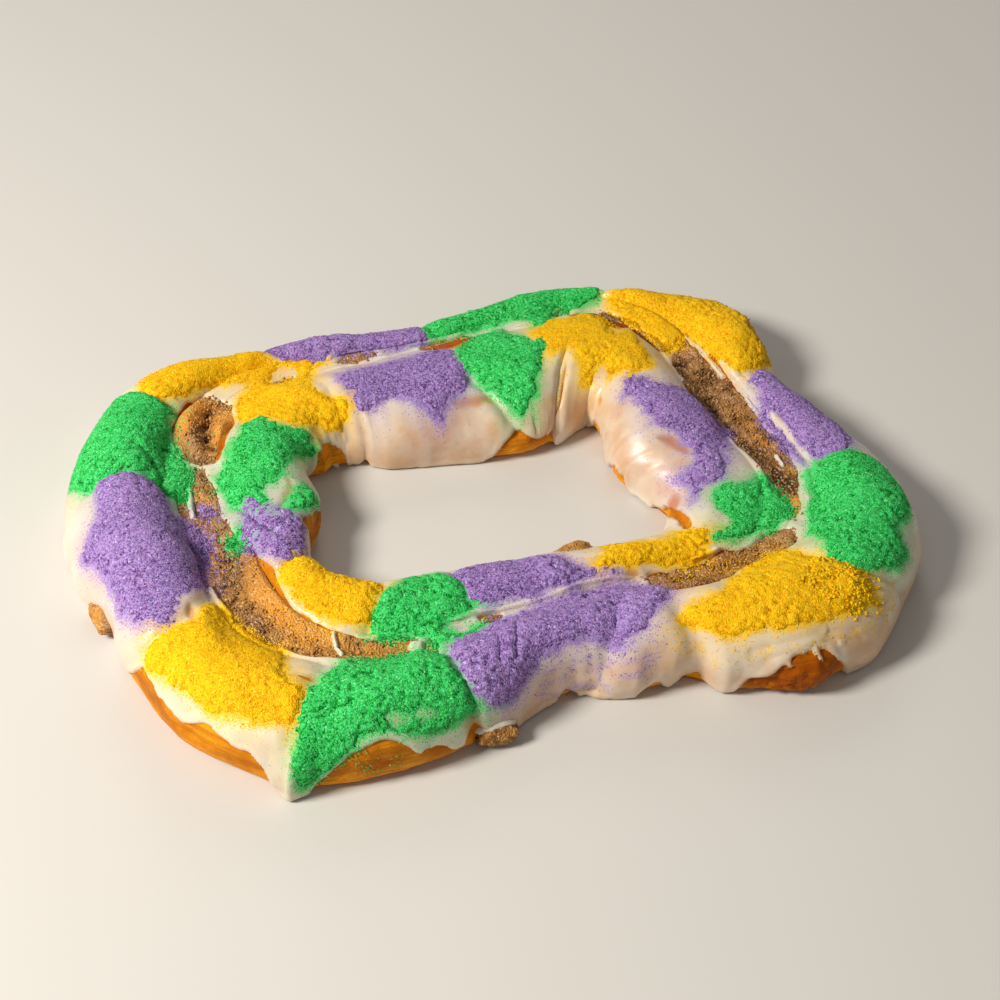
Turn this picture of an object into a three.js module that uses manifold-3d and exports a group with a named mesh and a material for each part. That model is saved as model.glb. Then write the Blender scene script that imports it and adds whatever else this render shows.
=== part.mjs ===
// King cake: two ropes of sweet dough baked side by side into one long ring, with cinnamon filling
// standing in the seam between them and squeezed out of the sides in a few places.
// Millimetres, +Z up. The cake rests on its flat base, and the origin is the middle of that base.

import * as THREE from 'three';
import { ParametricGeometry } from 'three/addons/geometries/ParametricGeometry.js';
import { mergeVertices } from 'three/addons/utils/BufferGeometryUtils.js';
import Module from 'manifold-3d';

const wasm = await Module();
wasm.setup();

// Plan outlines, counterclockwise from above. Each corner is x, y and the radius that rounds it.
const seamOutline = [[186, -111, 62], [158, 131, 56], [-161, 133, 85], [-166, -107, 78]];
const outerOutline = [
  [-15, -143, 60], [60, -168, 60], [112, -193, 50], [165, -191, 50], [243, -115, 60],
  [243, -62, 40], [219, 12, 80], [226, 112, 30], [150, 142, 60], [112, 161, 60],
  [15, 156, 120], [-60, 166, 150], [-178, 163, 60], [-242, 56, 110], [-237, 10, 30],
  [-229, -15, 30], [-235, -50, 40], [-222, -100, 80], [-185, -160, 70], [-125, -166, 60],
  [-60, -162, 80],
];
const innerOutline = [
  [123, -64, 20], [97, -28, 40], [97, 52, 14], [50, 43, 60], [-40, 66, 60], [-96, 82, 24],
  [-92, 20, 20], [-114, -10, 20], [-110, -48, 30], [-50, -49, 60], [50, -63, 60],
];

// The ring is measured along rays that leave a short spine in the middle of its hole.
const spine = { fromX: -45, toX: 52, y: 6, reach: 115 };

// Eight stations round the ring: near, near right, right, far right, far, far left, left, near left.
const outerCrest = [44, 47, 40, 38, 34, 42, 45, 44];
const innerCrest = [35, 29, 40, 42, 40, 40, 39, 37];
const seamHalfWidth = [4, 14, 14, 8, 3, 12, 18, 12];
const seamHeight = [33, 32, 29, 31, 29, 31, 31, 32];
const outerRoundness = [2.25, 2.25, 2.25, 2, 1.7, 1.9, 2.25, 2.25]; // 2 is an ellipse, more is fuller
const innerRoundness = [1.8, 1.7, 2.25, 2.25, 2.25, 2.25, 2.2, 1.9];

const crestPlace = 0.46; // share of a rope's width between the seam and its crest
const widestPlace = 0.36; // share of a rope's height at its widest
const footInset = 0.16; // share of the height by which the foot stands back from the widest line
const lowestCrestRise = 6;
const troughPower = 2.2;

const ringSteps = 100;
const ropeSteps = { wall: 1, rise: 4, flank: 7, lower: 3, base: 3 };
const fillingSteps = { wall: 1, top: 5, base: 1 };
const clearance = 0.3;
const fillingCrown = 1.6;
const fillingSink = 1.5;
const crumble = 0.9;

// Filling squeezed out of the sides: the turn round the ring, the rope, and the lump's middle height
// and half sizes along, across and up.
const lumps = [
  { name: 'filling_lump_left', turn: 0.756, rope: 1, height: 8, size: [11, 9, 9], out: 3 },
  { name: 'filling_lump_near', turn: 0.942, rope: 1, height: 6, size: [12, 9, 8], out: 4 },
  { name: 'filling_lump_hole', turn: 0.026, rope: -1, height: 24, size: [12, 8, 8], out: 1 },
  { name: 'filling_lump_far', turn: 0.386, rope: 1, height: 27, size: [9, 7, 7], out: 0 },
];

const doughMaterial = new THREE.MeshStandardMaterial({ color: 0xc97b34, roughness: 0.55 });
const fillingMaterial = new THREE.MeshStandardMaterial({ color: 0x8a5a36, roughness: 0.9 });

// The points of an outline whose corners are rounded by arcs.
function roundedOutline(corners) {
  const path = new THREE.Path();
  const count = corners.length;
  corners.forEach(([x, y, radius], i) => {
    const corner = new THREE.Vector2(x, y);
    const before = new THREE.Vector2(...corners[(i + count - 1) % count]).sub(corner).normalize();
    const after = new THREE.Vector2(...corners[(i + 1) % count]).sub(corner).normalize();
    const opening = before.angleTo(after);
    const tangent = radius / Math.tan(opening / 2);
    const start = corner.clone().addScaledVector(before, tangent);
    const end = corner.clone().addScaledVector(after, tangent);
    const middle = before.clone().add(after).normalize();
    const centre = corner.clone().addScaledVector(middle, radius / Math.sin(opening / 2));
    const clockwise = before.cross(after) > 0;
    const from = start.clone().sub(centre).angle();
    const to = end.clone().sub(centre).angle();
    path.absarc(centre.x, centre.y, radius, from, to, clockwise);
  });
  return path.getPoints(24);
}

// The start and outward direction of the ray at a turn from 0 to 1, from the near side's middle.
function ray(turn) {
  const length = spine.toX - spine.fromX;
  const halfCircle = Math.PI * spine.reach;
  let along = (turn - Math.floor(turn)) * 2 * (length + halfCircle) + length / 2;
  if (along < length) return rayFrom(spine.fromX + along, -Math.PI / 2);
  along -= length;
  if (along < halfCircle) return rayFrom(spine.toX, -Math.PI / 2 + along / spine.reach);
  along -= halfCircle;
  if (along < length) return rayFrom(spine.toX - along, Math.PI / 2);
  along -= length;
  if (along < halfCircle) return rayFrom(spine.fromX, Math.PI / 2 + along / spine.reach);
  return rayFrom(spine.fromX + along - halfCircle, -Math.PI / 2);
}

function rayFrom(x, angle) {
  return {
    start: new THREE.Vector2(x, spine.y),
    direction: new THREE.Vector2(Math.cos(angle), Math.sin(angle)),
  };
}

// How far along its ray an outline is crossed, measured at many turns and smoothed.
function reachAround(corners) {
  const samples = 360;
  const outline = roundedOutline(corners);
  let reach = Array.from({ length: samples }, (_, i) => crossing(ray(i / samples), outline));
  for (let pass = 0; pass < 6; pass += 1) {
    reach = reach.map((value, i) => {
      const last = reach[(i + samples - 1) % samples];
      const next = reach[(i + 1) % samples];
      return (last + 2 * value + next) / 4;
    });
  }
  return (turn) => {
    const place = (turn - Math.floor(turn)) * samples;
    const i = Math.floor(place);
    return THREE.MathUtils.lerp(reach[i % samples], reach[(i + 1) % samples], place - i);
  };
}

function crossing({ start, direction }, outline) {
  let farthest = 0;
  outline.forEach((a, i) => {
    const edge = outline[(i + 1) % outline.length].clone().sub(a);
    const across = direction.cross(edge);
    if (across === 0) return;
    const offset = a.clone().sub(start);
    const distance = offset.cross(edge) / across;
    const share = offset.cross(direction) / across;
    if (share >= 0 && share <= 1) farthest = Math.max(farthest, distance);
  });
  return farthest;
}

// A smooth value round the ring through the eight stations.
function around(stations) {
  const count = stations.length;
  return (turn) => {
    const place = (turn - Math.floor(turn)) * count;
    const i = Math.floor(place);
    const t = place - i;
    const [a, b, c, d] = [-1, 0, 1, 2].map((step) => stations[(i + step + count) % count]);
    return 0.5 * (2 * b + (c - a) * t + (2 * a - 5 * b + 4 * c - d) * t * t
      + (3 * b - a - 3 * c + d) * t ** 3);
  };
}

const seamReach = reachAround(seamOutline);
const outerReach = reachAround(outerOutline);
const innerReach = reachAround(innerOutline);
const outerCrestAt = around(outerCrest);
const innerCrestAt = around(innerCrest);
const seamHalfWidthAt = around(seamHalfWidth);
const seamHeightAt = around(seamHeight);
const outerRoundnessAt = around(outerRoundness);
const innerRoundnessAt = around(innerRoundness);

// The sizes of one rope's cross-section at a turn: rope is 1 for the outer and -1 for the inner one.
function ropeSizes(turn, rope, grow) {
  const seam = seamReach(turn);
  const width = rope > 0 ? outerReach(turn) - seam : seam - innerReach(turn);
  const height = rope > 0 ? outerCrestAt(turn) : innerCrestAt(turn);
  const inner = seamHalfWidthAt(turn);
  return {
    near: inner - grow,
    far: width + grow,
    crest: inner + crestPlace * (width - inner),
    height: height + grow,
    trough: Math.min(seamHeightAt(turn), height - lowestCrestRise) + grow,
    widest: widestPlace * height,
    foot: width - footInset * height + grow,
    base: -grow,
    flankPower: 2 / (rope > 0 ? outerRoundnessAt(turn) : innerRoundnessAt(turn)),
  };
}

// A cross-section's loop as [distance from the seam, height] at each step.
function ropeSection(size) {
  const { wall, rise, flank, lower, base } = ropeSteps;
  const points = [];
  for (let i = 0; i < wall; i += 1) points.push([size.near, size.base]);
  for (let i = 0; i < rise; i += 1) {
    const t = i / rise;
    const up = 1 - (1 - t) ** troughPower;
    points.push([
      THREE.MathUtils.lerp(size.near, size.crest, t),
      THREE.MathUtils.lerp(size.trough, size.height, up),
    ]);
  }
  for (let i = 0; i < flank; i += 1) {
    const angle = (i / flank) * Math.PI / 2;
    points.push([
      THREE.MathUtils.lerp(size.crest, size.far, Math.sin(angle) ** size.flankPower),
      THREE.MathUtils.lerp(size.widest, size.height, Math.cos(angle) ** size.flankPower),
    ]);
  }
  for (let i = 0; i < lower; i += 1) {
    const angle = (i / lower) * Math.PI / 2;
    points.push([
      THREE.MathUtils.lerp(size.far, size.foot, 1 - Math.cos(angle)),
      THREE.MathUtils.lerp(size.widest, size.base, Math.sin(angle)),
    ]);
  }
  for (let i = 0; i < base; i += 1) {
    points.push([THREE.MathUtils.lerp(size.foot, size.near, i / base), size.base]);
  }
  return points;
}

// The filling's cross-section: a ribbon between the ropes with a crumbly crown.
function fillingSection(turn) {
  const half = seamHalfWidthAt(turn) - clearance;
  const edge = troughBesides(turn) - fillingSink;
  const points = [[-half, 0]];
  for (let i = 0; i <= fillingSteps.top; i += 1) {
    const t = i / fillingSteps.top;
    const crumbs = Math.sin(turn * 290 + i * 2.1) + Math.sin(turn * 470 - i * 3.7);
    const crown = (fillingCrown + crumble * crumbs) * Math.sin(t * Math.PI);
    points.push([THREE.MathUtils.lerp(-half, half, t), edge + crown]);
  }
  points.push([half, 0]);
  return points;
}

function troughBesides(turn) {
  return Math.min(ropeSizes(turn, 1, 0).trough, ropeSizes(turn, -1, 0).trough);
}

// A closed ring whose cross-section at each turn is a loop of points on that turn's ray.
function ringGeometry(sectionAt, rope) {
  const loops = Array.from({ length: ringSteps }, (_, i) => sectionAt(i / ringSteps));
  const loopSteps = loops[0].length;
  const place = (across, turn, target) => {
    const station = Math.round(turn * ringSteps) % ringSteps;
    const step = Math.round((rope > 0 ? across : 1 - across) * loopSteps) % loopSteps;
    const [distance, height] = loops[station][step];
    const { start, direction } = ray(station / ringSteps);
    start.addScaledVector(direction, seamReach(station / ringSteps) + rope * distance);
    target.set(start.x, start.y, height);
  };
  return welded(new ParametricGeometry(place, loopSteps, ringSteps));
}

function welded(geometry) {
  geometry.deleteAttribute('normal');
  geometry.deleteAttribute('uv');
  return mergeVertices(geometry, 1e-4);
}

function toSolid(geometry) {
  return new wasm.Manifold(new wasm.Mesh({
    numProp: 3,
    vertProperties: new Float32Array(geometry.attributes.position.array),
    triVerts: new Uint32Array(geometry.index.array),
  }));
}

function toGeometry(solid) {
  const { vertProperties, triVerts } = solid.getMesh();
  const geometry = new THREE.BufferGeometry();
  geometry.setAttribute('position', new THREE.BufferAttribute(vertProperties, 3));
  geometry.setIndex(new THREE.BufferAttribute(triVerts, 1));
  return geometry;
}

// A lump of filling on the side of a rope, cut back from it and flat where it meets the table.
function lumpGeometry({ turn, rope, height, size, out }) {
  const geometry = welded(new THREE.IcosahedronGeometry(1, 1));
  const { start, direction } = ray(turn);
  const side = new THREE.Vector2(direction.y, -direction.x);
  const reach = seamReach(turn) + rope * (flankDistance(turn, rope, height) + out);
  const middle = start.addScaledVector(direction, reach);
  const position = geometry.attributes.position;
  for (let i = 0; i < position.count; i += 1) {
    const [x, y, z] = [position.getX(i), position.getY(i), position.getZ(i)];
    const swell = 1 + 0.16 * Math.sin(5 * x + 9 * turn) * Math.cos(4 * y - 3 * z);
    const along = x * size[0] * swell;
    const away = y * size[1] * swell;
    position.setXYZ(
      i,
      middle.x + side.x * along + direction.x * away,
      middle.y + side.y * along + direction.y * away,
      Math.max(0, height + z * size[2] * swell),
    );
  }
  const dough = toSolid(ropeGeometry(rope, clearance));
  return toGeometry(toSolid(geometry).subtract(dough));
}

// How far from the seam a rope's flank is at a height.
function flankDistance(turn, rope, height) {
  const size = ropeSizes(turn, rope, 0);
  if (height < size.widest) return size.far;
  const share = (height - size.widest) / (size.height - size.widest);
  const angle = Math.acos(Math.min(1, share) ** (1 / size.flankPower));
  return THREE.MathUtils.lerp(size.crest, size.far, Math.sin(angle) ** size.flankPower);
}

function ropeGeometry(rope, grow) {
  return ringGeometry((turn) => ropeSection(ropeSizes(turn, rope, grow)), rope);
}

const cake = new THREE.Group();

function add(name, geometry, material) {
  geometry.computeVertexNormals();
  const mesh = new THREE.Mesh(geometry, material.clone());
  mesh.name = name;
  cake.add(mesh);
}

add('outer_strand', ropeGeometry(1, 0), doughMaterial);
add('inner_strand', ropeGeometry(-1, 0), doughMaterial);
add('filling', ringGeometry(fillingSection, 1), fillingMaterial);
lumps.forEach((lump) => add(lump.name, lumpGeometry(lump), fillingMaterial));

const middle = new THREE.Box3().setFromObject(cake).getCenter(new THREE.Vector3());
cake.position.set(-middle.x, -middle.y, 0);

export default cake;
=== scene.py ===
import math
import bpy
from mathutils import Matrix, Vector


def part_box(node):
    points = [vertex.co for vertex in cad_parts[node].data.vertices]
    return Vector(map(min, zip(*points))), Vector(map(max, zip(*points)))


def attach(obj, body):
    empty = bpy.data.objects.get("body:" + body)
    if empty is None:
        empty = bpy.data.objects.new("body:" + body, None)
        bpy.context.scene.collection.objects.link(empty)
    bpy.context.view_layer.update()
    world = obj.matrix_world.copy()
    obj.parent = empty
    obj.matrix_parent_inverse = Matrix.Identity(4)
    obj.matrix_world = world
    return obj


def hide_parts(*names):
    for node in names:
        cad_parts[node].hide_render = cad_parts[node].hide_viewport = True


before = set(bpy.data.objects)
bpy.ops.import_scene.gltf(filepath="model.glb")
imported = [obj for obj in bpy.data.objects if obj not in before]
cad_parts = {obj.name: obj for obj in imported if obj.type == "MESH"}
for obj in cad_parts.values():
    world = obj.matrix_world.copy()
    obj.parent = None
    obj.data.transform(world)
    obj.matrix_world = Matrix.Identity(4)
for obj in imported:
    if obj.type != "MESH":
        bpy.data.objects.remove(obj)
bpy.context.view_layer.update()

from types import SimpleNamespace

import bpy
import numpy as np

mm = 0.001  # the frame is in metres, and the shapes here are worked out in millimetres
outer, inner = 1, -1  # the two ropes of dough

cameraView = {
    "place": (-0.3829, -0.8267, 0.9246),
    "turnDegrees": (45.434, -2.655, -22.661),
    "lens": 77.16,
    "sensor": 36.0,
    "clipEnd": 50,
}

studio = {
    "floorSize": 40.0,
    "floorDrop": 0.0003,
    "floor": {"Base Color": (0.66, 0.63, 0.585, 1), "Roughness": 0.8, "Specular IOR Level": 0.2},
    "world": {"Color": (1.0, 0.98, 0.95, 1), "Strength": 0.21},
    # name, place, what it points at, size, watts, colour
    "lamps": [
        ("key", (-1.50, -0.08, 1.31), (0, 0, 0), 0.58, 48, (1.0, 0.965, 0.90)),
        ("front", (0.5, -2.4, 1.4), (0, 0, 0), 1.6, 1.5, (1.0, 0.97, 0.93)),
        ("back", (0.9, 2.3, 1.6), (0, 0, 0), 1.2, 13, (1.0, 0.98, 0.96)),
    ],
}


def setValues(node, values):
    for label, value in values.items():
        node.inputs[label].default_value = value


def makeStudio():
    camera = bpy.data.cameras.new("camera")
    camera.lens, camera.sensor_width = cameraView["lens"], cameraView["sensor"]
    camera.clip_end = cameraView["clipEnd"]
    eye = bpy.data.objects.new("camera", camera)
    eye.location = cameraView["place"]
    eye.rotation_euler = [math.radians(a) for a in cameraView["turnDegrees"]]
    bpy.context.scene.collection.objects.link(eye)
    bpy.context.scene.camera = eye

    for name, place, target, size, watts, colour in studio["lamps"]:
        lamp = bpy.data.lights.new(name, "AREA")
        lamp.shape, lamp.size, lamp.energy, lamp.color = "DISK", size, watts, colour
        holder = bpy.data.objects.new(name, lamp)
        holder.location = place
        toward = np.array(target, float) - place
        holder.rotation_euler = (
            math.atan2(math.hypot(toward[0], toward[1]), -toward[2]),
            0,
            math.atan2(toward[1], toward[0]) - math.pi / 2,
        )
        bpy.context.scene.collection.objects.link(holder)

    world = bpy.data.worlds.new("studio")
    world.use_nodes = True
    setValues(world.node_tree.nodes["Background"], studio["world"])
    bpy.context.scene.world = world
    bpy.context.scene.view_settings.view_transform = "Standard"

    reach, drop = studio["floorSize"] / 2, studio["floorDrop"]
    mesh = bpy.data.meshes.new("floor")
    corners = [(x * reach, y * reach, -drop) for x, y in ((-1, -1), (1, -1), (1, 1), (-1, 1))]
    mesh.from_pydata(corners, [], [(0, 1, 2, 3)])
    floor = bpy.data.objects.new("floor", mesh)
    bpy.context.scene.collection.objects.link(floor)
    paper = bpy.data.materials.new("floorPaper")
    paper.use_nodes = True
    setValues(paper.node_tree.nodes["Principled BSDF"], studio["floor"])
    mesh.materials.append(paper)


makeStudio()
print("studio ready")


# Smooth random fields over points in millimetres, from -1 to 1, each with a seed of its own

# Whole numbers turned into a chance value
def hashed(i, j, k, seed):
    h = ((i * 374761393 + j * 668265263 + k * 1274126177 + seed * 974634777) & 0xFFFFFFFF).astype(np.uint32)
    h = (h ^ (h >> np.uint32(13))) * np.uint32(1274126177)
    h = (h ^ (h >> np.uint32(16))) * np.uint32(2246822519)
    return ((h ^ (h >> np.uint32(15))) & np.uint32(0xFFFF)).astype(float) / 32767.5 - 1


def noise(points, size, seed=0):
    p = points / size + 512.37
    cell = np.floor(p).astype(np.int64)
    f = p - cell
    f = f * f * f * (f * (f * 6 - 15) + 10)
    total = 0
    for corner in range(8):
        step = (corner & 1, corner >> 1 & 1, corner >> 2)
        weight = 1
        for axis in range(3):
            weight = weight * (f[..., axis] if step[axis] else 1 - f[..., axis])
        total = total + weight * hashed(*(cell[..., a] + step[a] for a in range(3)), seed)
    return total


def fractal(points, size, seed=0, layers=3, fall=0.5):
    total, weight = 0, 1.0
    for layer in range(layers):
        total = total + weight * noise(points, size / 2**layer, seed + layer)
        weight *= fall
    return total


# A sum of random fields, each told by its height, size and seed
def waves(points, rows, total=0):
    for height, size, seed in rows:
        total = total + height * noise(points, size, seed)
    return total


clumpShape = {"jitter": 0.45, "reach": 0.8}


# Rounded clumps, 1 at a clump's middle and 0 in the cracks between
def clumps(points, size, seed=0):
    p = points / size + 512.37
    cell = np.floor(p).astype(np.int64)
    nearest = np.full(p.shape[:-1], 9.0)
    for step in np.ndindex(3, 3, 3):
        there = [cell[..., a] + step[a] - 1 for a in range(3)]
        gap = 0
        for a in range(3):
            middle = there[a] + 0.5 + clumpShape["jitter"] * hashed(*there, seed + 7 * a)
            gap = gap + (middle - p[..., a]) ** 2
        nearest = np.minimum(nearest, gap)
    return np.clip(1 - nearest / clumpShape["reach"], 0, 1)


def smoothStep(low, high, value):
    t = np.clip((value - low) / (high - low), 0, 1)
    return t * t * (3 - 2 * t)


# The ring's layout: rays leave a short spine in the middle of the hole, and a place on the cake is its
# turn round the ring, from 0 to 1 counterclockwise from the near side's middle, and its distance
# across in millimetres from the middle of the seam, positive on the outer rope.

spine = {"fromX": -44.215, "toX": 52.785, "y": 19.316, "reach": 115.0, "stations": 100}
spineLength = spine["toX"] - spine["fromX"]
halfCircle = math.pi * spine["reach"]
spineEnds = [spineLength, spineLength + halfCircle, 2 * spineLength + halfCircle]
spineRound = 2 * (spineLength + halfCircle)


def rayAt(turn):
    along = np.mod(np.asarray(turn, float) * spineRound + spineLength / 2, spineRound)
    parts = [along < end for end in spineEnds]
    flat = np.zeros_like(along)
    x = np.select(
        parts,
        [spine["fromX"] + along, spine["toX"] + flat, spine["toX"] - (along - spineEnds[1])],
        spine["fromX"],
    )
    angle = np.select(
        parts,
        [flat - math.pi / 2, (along - spineEnds[0]) / spine["reach"] - math.pi / 2, flat + math.pi / 2],
        (along - spineEnds[2]) / spine["reach"] + math.pi / 2,
    )
    start = np.stack([x, flat + spine["y"]], -1)
    return start, np.stack([np.cos(angle), np.sin(angle)], -1)


def turnOf(x, y):
    up = y - spine["y"]
    between = (x >= spine["fromX"]) & (x <= spine["toX"])
    right = np.arctan2(up, x - spine["toX"]) + math.pi / 2
    left = np.mod(np.arctan2(up, x - spine["fromX"]), 2 * math.pi) - math.pi / 2
    along = np.select(
        [between & (up < 0), between, x > spine["toX"]],
        [x - spine["fromX"], spineEnds[1] + spine["toX"] - x, spineEnds[0] + right * spine["reach"]],
        spineEnds[2] + left * spine["reach"],
    )
    return np.mod((along - spineLength / 2) / spineRound, 1)


# How a rope is read: the height of its middle as a share of its crest's, the least height that isn't its
# foot, and the steps across along which even distances round the ring are measured, with how many samples
ropeReading = {"middle": 0.3, "least": 0.05, "measured": [60, 110], "samples": 2001}
seamShape = {"dip": 1.8, "overlap": 1.5, "margin": 0.3, "grainOverlap": 0.3}


# The cross-sections of a CAD ring, one list of [reach from the spine, height] for each station
def readSections(name):
    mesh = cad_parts[name].data
    points = np.empty(len(mesh.vertices) * 3, np.float32)
    mesh.vertices.foreach_get("co", points)
    points = np.unique(points.reshape(-1, 3), axis=0) / mm
    count = spine["stations"]
    station = np.round(turnOf(points[:, 0], points[:, 1]) * count).astype(int) % count
    start, direction = rayAt(station / count)
    reach = ((points[:, :2] - start) * direction).sum(1)
    section = np.stack([reach, points[:, 2]], 1)
    return [section[station == i] for i in range(count)]


# A rope's section from the seam over its crest to its foot
def topOf(section, rope):
    reach, height = section.T
    crest, core = reach[height.argmax()], ropeReading["middle"] * height.max()
    standing = height > ropeReading["least"]
    foot = np.where(standing, -np.inf, rope * reach).argmax()
    chosen = np.append(np.flatnonzero(standing), foot)
    angle = np.arctan2(height[chosen] - core, (reach[chosen] - crest) * rope)
    return section[chosen[np.argsort(-angle)]]


def curveBetween(a, b, c, d, t):
    return 0.5 * (2 * b + (c - a) * t + (2 * a - 5 * b + 4 * c - d) * t**2 + (3 * b - a - 3 * c + d) * t**3)


# Values at the stations, made smooth round the ring
def around(values, turn):
    place = np.mod(turn, 1) * len(values)
    i = np.floor(place).astype(int)
    t = (place - i).reshape((-1,) + (1,) * (values.ndim - 1))
    return curveBetween(*(values[(i + step) % len(values)] for step in (-1, 0, 1, 2)), t)


# A section made smooth, as points at even distances along it, and its length
def evenSection(points, steps=160, fine=10):
    ends = np.concatenate([2 * points[:1] - points[1:2], points, 2 * points[-1:] - points[-2:-1]])
    t = np.linspace(0, 1, fine, endpoint=False)[:, None]
    spans = [curveBetween(*ends[i:i + 4], t) for i in range(len(points) - 1)]
    line = np.concatenate(spans + [points[-1:]])
    along = np.concatenate([[0], np.cumsum(np.linalg.norm(np.diff(line, axis=0), axis=1))])
    even = np.linspace(0, along[-1], steps)
    return np.stack([np.interp(even, along, line[:, k]) for k in (0, 1)], -1), along[-1]


fillingSections = readSections("filling")
seamSpan = np.array([[s[:, 0].min(), s[:, 0].max()] for s in fillingSections])
seamMiddle = seamSpan.mean(1)
seamHalf = np.diff(seamSpan, axis=1)[:, 0] / 2 + seamShape["margin"]
ropeNodes = {outer: "outer_strand", inner: "inner_strand"}
ropeSections, ropeLengths, troughs = {}, {}, {}
for rope, node in ropeNodes.items():
    tops = [topOf(section, rope) for section in readSections(node)]
    smooth = [evenSection(top) for top in tops]
    ropeSections[rope] = np.array([s[0] for s in smooth])
    ropeLengths[rope] = np.array([s[1] for s in smooth])
    troughs[rope] = np.array([top[0, 1] for top in tops])
print("ring read from the frame", ropeSections[outer].shape)


def placeOnRays(turn, reach, height):
    start, direction = rayAt(turn)
    flat = start[:, None] + direction[:, None] * reach[..., None]
    return np.concatenate([flat, height[..., None]], -1)


# Turns that stand at even distances along a rope
def evenTurns(rope, steps):
    turn = np.linspace(0, 1, ropeReading["samples"])
    section = around(ropeSections[rope], turn)[:, ropeReading["measured"]]
    line = placeOnRays(turn, section[..., 0], section[..., 1]).mean(1)
    along = np.concatenate([[0], np.cumsum(np.linalg.norm(np.diff(line, axis=0), axis=1))])
    return np.interp(np.linspace(0, along[-1], steps, endpoint=False), along, turn)


def outwardOf(place, rope):
    along = np.roll(place, -1, 0) - np.roll(place, 1, 0)
    sideways = np.gradient(place, axis=1)
    out = np.cross(along, sideways) * -rope
    return out / np.maximum(np.linalg.norm(out, axis=-1, keepdims=True), 1e-9)


# Height of the seam's surface, between the ropes' two edges
def seamTop(turn, across, half):
    low, high = around(troughs[inner], turn)[:, None], around(troughs[outer], turn)[:, None]
    share = np.clip(across / half, -1, 1)
    return low + (high - low) * (share + 1) / 2 - seamShape["dip"] * (1 - share**2)


# The share of a rope's side at which its foot begins to stand out, and at which all of it does
spreadShare = (0.3, 0.97)

# How far the foot stands out beyond the CAD's, as turn and millimetres
footSpread = {
    outer: [
        (0.000, 7), (0.004, 9), (0.020, 9), (0.026, 9), (0.032, 5.5), (0.040, 3), (0.050, 1.5),
        (0.0575, -3.5), (0.064, -1), (0.069, 4.5), (0.074, 2), (0.084, 1), (0.095, 3), (0.105, 1),
        (0.115, 3), (0.125, 5), (0.150, 6), (0.165, 5), (0.180, 0), (0.620, 0), (0.650, 5), (0.690, 7),
        (0.740, 7), (0.765, 5), (0.780, 2), (0.790, 1.5), (0.800, 4), (0.811, 5), (0.820, 5), (0.830, 3),
        (0.840, 1), (0.850, 1), (0.856, 3), (0.8605, 8), (0.8640, 12), (0.8675, 8), (0.8715, 4), (0.885, 6),
        (0.900, 5), (0.914, 6), (0.925, 4), (0.938, 5), (0.951, 9), (0.970, 8), (0.980, 8), (0.990, 6),
    ],
    inner: [
        (0.150, 0), (0.165, -3), (0.180, -2), (0.192, 0), (0.205, 5), (0.220, 8), (0.260, 8), (0.300, 6),
        (0.330, 2), (0.345, -2), (0.3545, -5), (0.362, 0), (0.370, 4), (0.389, 8), (0.402, 6), (0.450, 7),
        (0.475, 8), (0.490, 9), (0.530, 9), (0.545, 8), (0.555, 5), (0.563, 2.5), (0.575, 3.5),
        (0.5865, 4.5), (0.600, 3), (0.608, 6), (0.616, 9), (0.624, 6), (0.634, 0),
    ],
}


def alongTable(table, turn):
    at, value = np.array(table).T
    at = np.concatenate([[at[-1] - 1], at, [at[0] + 1]])
    value = np.concatenate([[value[-1]], value, [value[0]]])
    return np.interp(np.mod(turn, 1), at, value)


# The cake's top surface on one side of the seam's middle: the seam, then the rope down to its foot.
# Bare dough is wrinkled and tucks in at the foot, and what lies on it is smooth.
def makeSheet(rope, turnSteps, seamSteps, ropeSteps, bare=False):
    turn = evenTurns(rope, turnSteps)
    half = around(seamHalf, turn)[:, None]
    length = around(ropeLengths[rope], turn)[:, None]
    middle = around(seamMiddle, turn)[:, None]
    inSeam = -seamShape["overlap"] + (half + seamShape["overlap"]) * np.arange(seamSteps) / seamSteps
    share = np.linspace(0, 1, ropeSteps)
    pick = share * (ropeSections[rope].shape[1] - 1)
    low = np.minimum(pick.astype(int), ropeSections[rope].shape[1] - 2)
    mix = (pick - low)[:, None]
    columns = ropeSections[rope][:, low] * (1 - mix) + ropeSections[rope][:, low + 1] * mix
    section = around(columns, turn)
    spread = alongTable(footSpread[rope], turn)[:, None] * smoothStep(*spreadShare, share)
    reach = np.concatenate([middle + rope * inSeam, section[..., 0] + rope * spread], 1)
    height = np.concatenate([seamTop(turn, rope * inSeam, half), section[..., 1]], 1)
    s = SimpleNamespace(rope=rope, half=half, foot=half + length, turn=turn[:, None] + 0 * reach)
    s.far = np.concatenate([inSeam, half + length * share], 1)  # distance from the seam's middle
    s.across = rope * s.far
    s.base = placeOnRays(turn, reach, height)
    s.out = outwardOf(s.base, rope)
    ahead = np.mod(np.roll(s.turn, -1, 0) - np.roll(s.turn, 1, 0), 1)
    s.perTurn = np.linalg.norm(np.roll(s.base, -1, 0) - np.roll(s.base, 1, 0), axis=-1) / ahead
    relief, lowered = reliefOf(s, bare)
    s.place = s.base + s.out * relief[..., None]
    s.place[..., 2] += lowered
    s.place[..., 2] = np.maximum(s.place[..., 2], 0)
    s.out = outwardOf(s.place, rope)
    return s


def wrapped(turn):
    return np.mod(turn + 0.5, 1) - 0.5


farOff = 99.0  # millimetres, for places too far away to be measured


# A closed outline drawn by a few places, made smooth
def smoothOutline(places, fine=4):
    p = np.array(places, float)
    t = np.linspace(0, 1, fine, endpoint=False)[None, :, None]
    a, b, c, d = (np.roll(p, k, 0)[:, None] for k in (1, 0, -1, -2))
    return curveBetween(a, b, c, d, t).reshape(-1, 2)


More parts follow.
